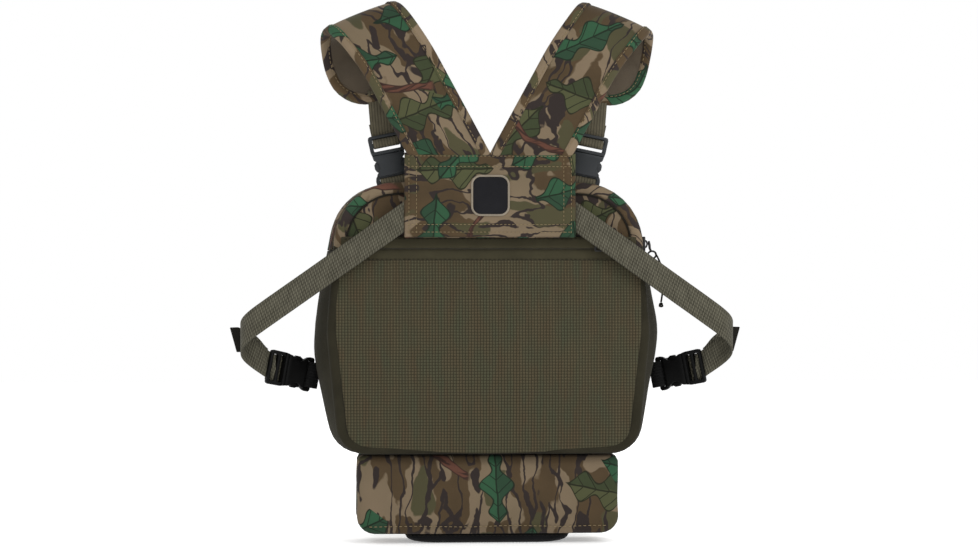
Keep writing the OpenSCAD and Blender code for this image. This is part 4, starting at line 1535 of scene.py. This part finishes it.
def add_anchors(side, tag):
    """Short webbing loops that hold the buckles' feet to the pack."""
    local = [(0, -1.8, -6), (0, -2.4, -1), (0, -2.6, 3.6), (0, -1.4, 5.0), (0, 0.6, 5.3),
        (0, 2.2, 4.4), (0, 2.4, 1), (0, 1.2, -2), (0, 0, -6)]
    for prefix, place, body, nodes in (
            ("top", at_top_buckle, "harness", ["top_anchor_" + tag]),
            ("side", at_side_buckle, "pack", ["side_anchor_" + tag])):
        web_loop(f"{prefix}_buckle_loop_{tag}", place, local, 10.4, 1.1, "ribbed_webbing"
            if prefix == "top" else "black_webbing", body, nodes, side)


def add_straps_and_buckles():
    for side, tag, shift in ((1, "right", (60, 3)), (-1, "left", (-21, 14))):
        add_pad(side, tag, shift)
        add_top_webbing(side, tag)
        add_side_strap(side, tag)
        add_anchors(side, tag)
        add_buckle(at_top_buckle, side, "top", tag, "harness", "outer", "inner", "grey_buckle")
        add_buckle(at_side_buckle, side, "side", tag, "pack", "lower", "upper", "black_buckle")


# ---- yoke ----

YOKE_ROWS = (302, 256, 250)
YOKE_BANDS = (-64.5, -58.5, 58.5, 64.5)


def yoke_front(x, z):
    """The yoke's outer face: foam between sewn lines that pull it down."""
    y = YOKE_LO.y + 0.5
    lines = [abs(z - row) for row in YOKE_ROWS] + [abs(x - band) for band in YOKE_BANDS]
    dip = sum(0.55 * math.exp(-(d / 1.5) ** 2) for d in lines)
    foam = 1.2 * dome(x, z, 56, 279, 21) ** 0.5
    return y + dip - foam * 0.6 + wobble(x, 0, z, 20, 0.35, 5)


def add_yoke():
    lo, hi = YOKE_LO, YOKE_HI
    top = Vector((hi.x, hi.y, hi.z + 1))
    verts, faces, uvs = pillow(lo, top, 96, 56, yoke_front, lambda x, z: hi.y, (2.4, 21), 30)
    uvs = [[(v, -u) for u, v in face] for face in uvs]
    yoke = weld(make("yoke_body", (verts, faces, uvs), "camo"))
    finish_piece(yoke, "harness", ["yoke_panel"])
    skin_lo, skin_hi = own_box("yoke_lining")
    parts = pillow(skin_lo - Vector((0.4, 0, 1.6)), skin_hi, 40, 20, lambda x, z: skin_lo.y,
        lambda x, z: skin_hi.y + 0.2)
    finish_piece(weld(make("yoke_back_skin", parts, "camo")), "harness", ["yoke_lining"])

    def on_face(x, z):
        return (x, yoke_front(x, z) - 0.1, z)

    rows = [[on_face(x, z) for x in evenly(-66, 66, 80)] for z in YOKE_ROWS]
    bands = [[on_face(x, z) for z in evenly(249, 310, 40)] for x in YOKE_BANDS]
    edge = [[on_face(x, 310.2) for x in evenly(-66, 66, 60)]]
    stitches("yoke_stitches", rows + bands + edge, "harness", dash=2.0, gap=1.2, radius=0.26)
    add_patch(on_face)


def add_patch(on_face):
    """Plain woven patch with a whipped border, and nothing on it."""
    lo, hi = PATCH_LO, PATCH_HI
    mid = Vector(((lo.x + hi.x) / 2, (lo.z + hi.z) / 2))
    outline = plate_outline(lo.x, hi.x, lo.z, hi.z, 7, 72)
    rows = []
    for keep, out in ((1, 0.0), (1, -0.5), (0.97, -0.9), (0.9, -1.0), (0.6, -1.05), (0.3, -1.05),
                      (0.03, -1.05)):
        rows.append([(p.x, on_face(p.x, p.y)[1] + 0.5 + out, p.y) for p in shrunk(outline, mid,
            keep)])
    add("blank_patch", sealed(rows, flat_uv=True), "patch", "harness", ["yoke_patch"])
    loop = [(p.x, on_face(p.x, p.y)[1] - 0.35, p.y) for p in shrunk(outline, mid, 0.97)]
    add("blank_patch_border", ring_tube(loop, 0.85, 8), "patch_border", "harness")


# ---- sliders, pulls and ring ----

def slider_parts():
    """Zip slider on a face at y = 0 that it stands out from towards -y."""
    body = rounded([(-5, -2.6, 1.4), (5, -3.6, 1.6), (5, 3.6, 1.6), (-5, 2.6, 1.4)], 5)
    plate = slab_parts([body], -2.5, -1.3, 0.45)
    under = slab_parts([body], -1.2, -0.1, 0.4)
    wedge = block_parts((2.2, -1.5, -1.3), (4.6, -1.0, 1.3), 0.2)
    bridge = tube([(-3, -2.3, 0), (-2.6, -3.4, 0), (-1.2, -3.9, 0), (1.2, -3.9, 0),
        (2.6, -3.4, 0), (3, -2.3, 0)], 0.7, 8)
    return [plate, under, wedge, bridge]


def pull_parts():
    tab = rounded([(-19, -2.4, 1.4), (0.6, -1.7, 1.4), (0.6, 1.7, 1.4), (-19, 2.4, 1.4)], 5)
    window = rounded([(-17.2, -1.1, 0.6), (-12.6, -1.1, 0.6), (-12.6, 1.1, 0.6),
        (-17.2, 1.1, 0.6)], 4)
    return [slab_parts([tab, window], -5.2, -4.05, 0.35)]


def add_sliders():
    lo, hi = own_box("back_zip_slider")
    back = Vector(((lo.x + hi.x) / 2, hi.y, (lo.z + hi.z) / 2))
    lo, hi = own_box("front_zip_slider")
    front = Vector(((lo.x + hi.x) / 2, lo.y, (lo.z + hi.z) / 2))
    for prefix, at, sign in (("back", back, 1), ("front", front, -1)):
        for kind, parts in (("slider", slider_parts()), ("pull", pull_parts())):
            placed = moved(merged(*parts), lambda v: Vector((v.x, sign * v.y, v.z)) + at)
            add_moulded(f"{prefix}_zip_{kind}_metal", placed, "zip_metal", f"{prefix}_{kind}",
                f"{prefix}_zip_{kind}")
    add_main_slider()


def add_main_slider():
    lo, hi = own_box("main_zip_slider")
    outer = hi.x - 2
    parts = [block_parts((lo.x, lo.y, lo.z), (outer, hi.y, hi.z), 0.9, 3),
        tube([(outer - 0.4, MAIN_ZIP_Y, lo.z + 3), (outer + 0.9, MAIN_ZIP_Y, lo.z + 3.8),
        (outer + 1.6, MAIN_ZIP_Y, (lo.z + hi.z) / 2), (outer + 0.9, MAIN_ZIP_Y, hi.z - 3.8),
        (outer - 0.4, MAIN_ZIP_Y, hi.z - 3)], 0.75, 8)]
    add_moulded("main_zip_slider_metal", merged(*parts), "zip_metal", "main_slider",
        "main_zip_slider")
    ring_lo, ring_hi = own_box("main_zip_ring")
    x = (ring_lo.x + ring_hi.x) / 2 + 0.2
    stem = [(x - 2.2, MAIN_ZIP_Y, ring_hi.z), (x - 1.6, MAIN_ZIP_Y, ring_hi.z - 3),
        (x - 1.4, 9.8, 237.5), (x - 0.6, 8, 235.2)]
    oval = [Vector((x + 3.3 * math.cos(t), 6.6 - 1.0 * math.sin(t), 232.2 + 3.0 * math.sin(t)))
        for t in evenly(0, 2 * math.pi, 28)]
    add("main_zip_pull_ring", merged(tube(stem, [0.9, 1.1, 1.0, 0.9]), tube(oval, 0.8)),
        "zip_metal", "main_ring", ["main_zip_ring"])


# ---- stage ----

def add_stage():
    """Pale floor and soft studio light."""
    verts = [(-3, -3, 0), (3, -3, 0), (3, 3, 0), (-3, 3, 0)]
    mesh = bpy.data.meshes.new("floor")
    mesh.from_pydata(verts, [], [(0, 1, 2, 3)])
    s = Shader("floor_white", "floor", roughness=0.9)
    s.colour((0.9, 0.9, 0.9, 1))
    s.bsdf.inputs["Emission Color"].default_value = (1, 1, 1, 1)
    s.bsdf.inputs["Emission Strength"].default_value = 0.35
    mesh.materials.append(s.material)
    linked("floor", mesh)
    world = bpy.data.worlds.new("studio")
    world.use_nodes = True
    tree = world.node_tree
    sky = tree.nodes["Background"]
    sky.inputs[0].default_value = (1, 1, 1, 1)
    seen = tree.nodes.new("ShaderNodeLightPath")
    power = tree.nodes.new("ShaderNodeMapRange")
    power.inputs["To Min"].default_value = 0.82
    tree.links.new(seen.outputs["Is Camera Ray"], power.inputs["Value"])
    tree.links.new(power.outputs[0], sky.inputs[1])
    bpy.context.scene.world = world
    for name, at, size, power in (("key", (1.0, -1.5, 1.2), 1.2, 18),
                                  ("fill", (-1.1, -1.5, 1.3), 1.0, 6),
                                  ("rear", (0.3, 1.5, 1.3), 1.2, 14)):
        data = bpy.data.lights.new(name, "AREA")
        data.size = size
        data.energy = power
        light = linked(name, data)
        light.location = at
        light.rotation_euler = (Vector((0, 0, 0.2)) - light.location).to_track_quat("-Z",
            "Y").to_euler()
    bpy.context.scene.view_settings.view_transform = "Standard"


add_camera()
add_materials()
add_zip_cord()
add_pack_shell()
add_piping()
add_main_zip()
add_back()
add_front_pocket()
add_pouch()
add_inside()
add_straps_and_buckles()
add_yoke()
add_sliders()
add_stage()
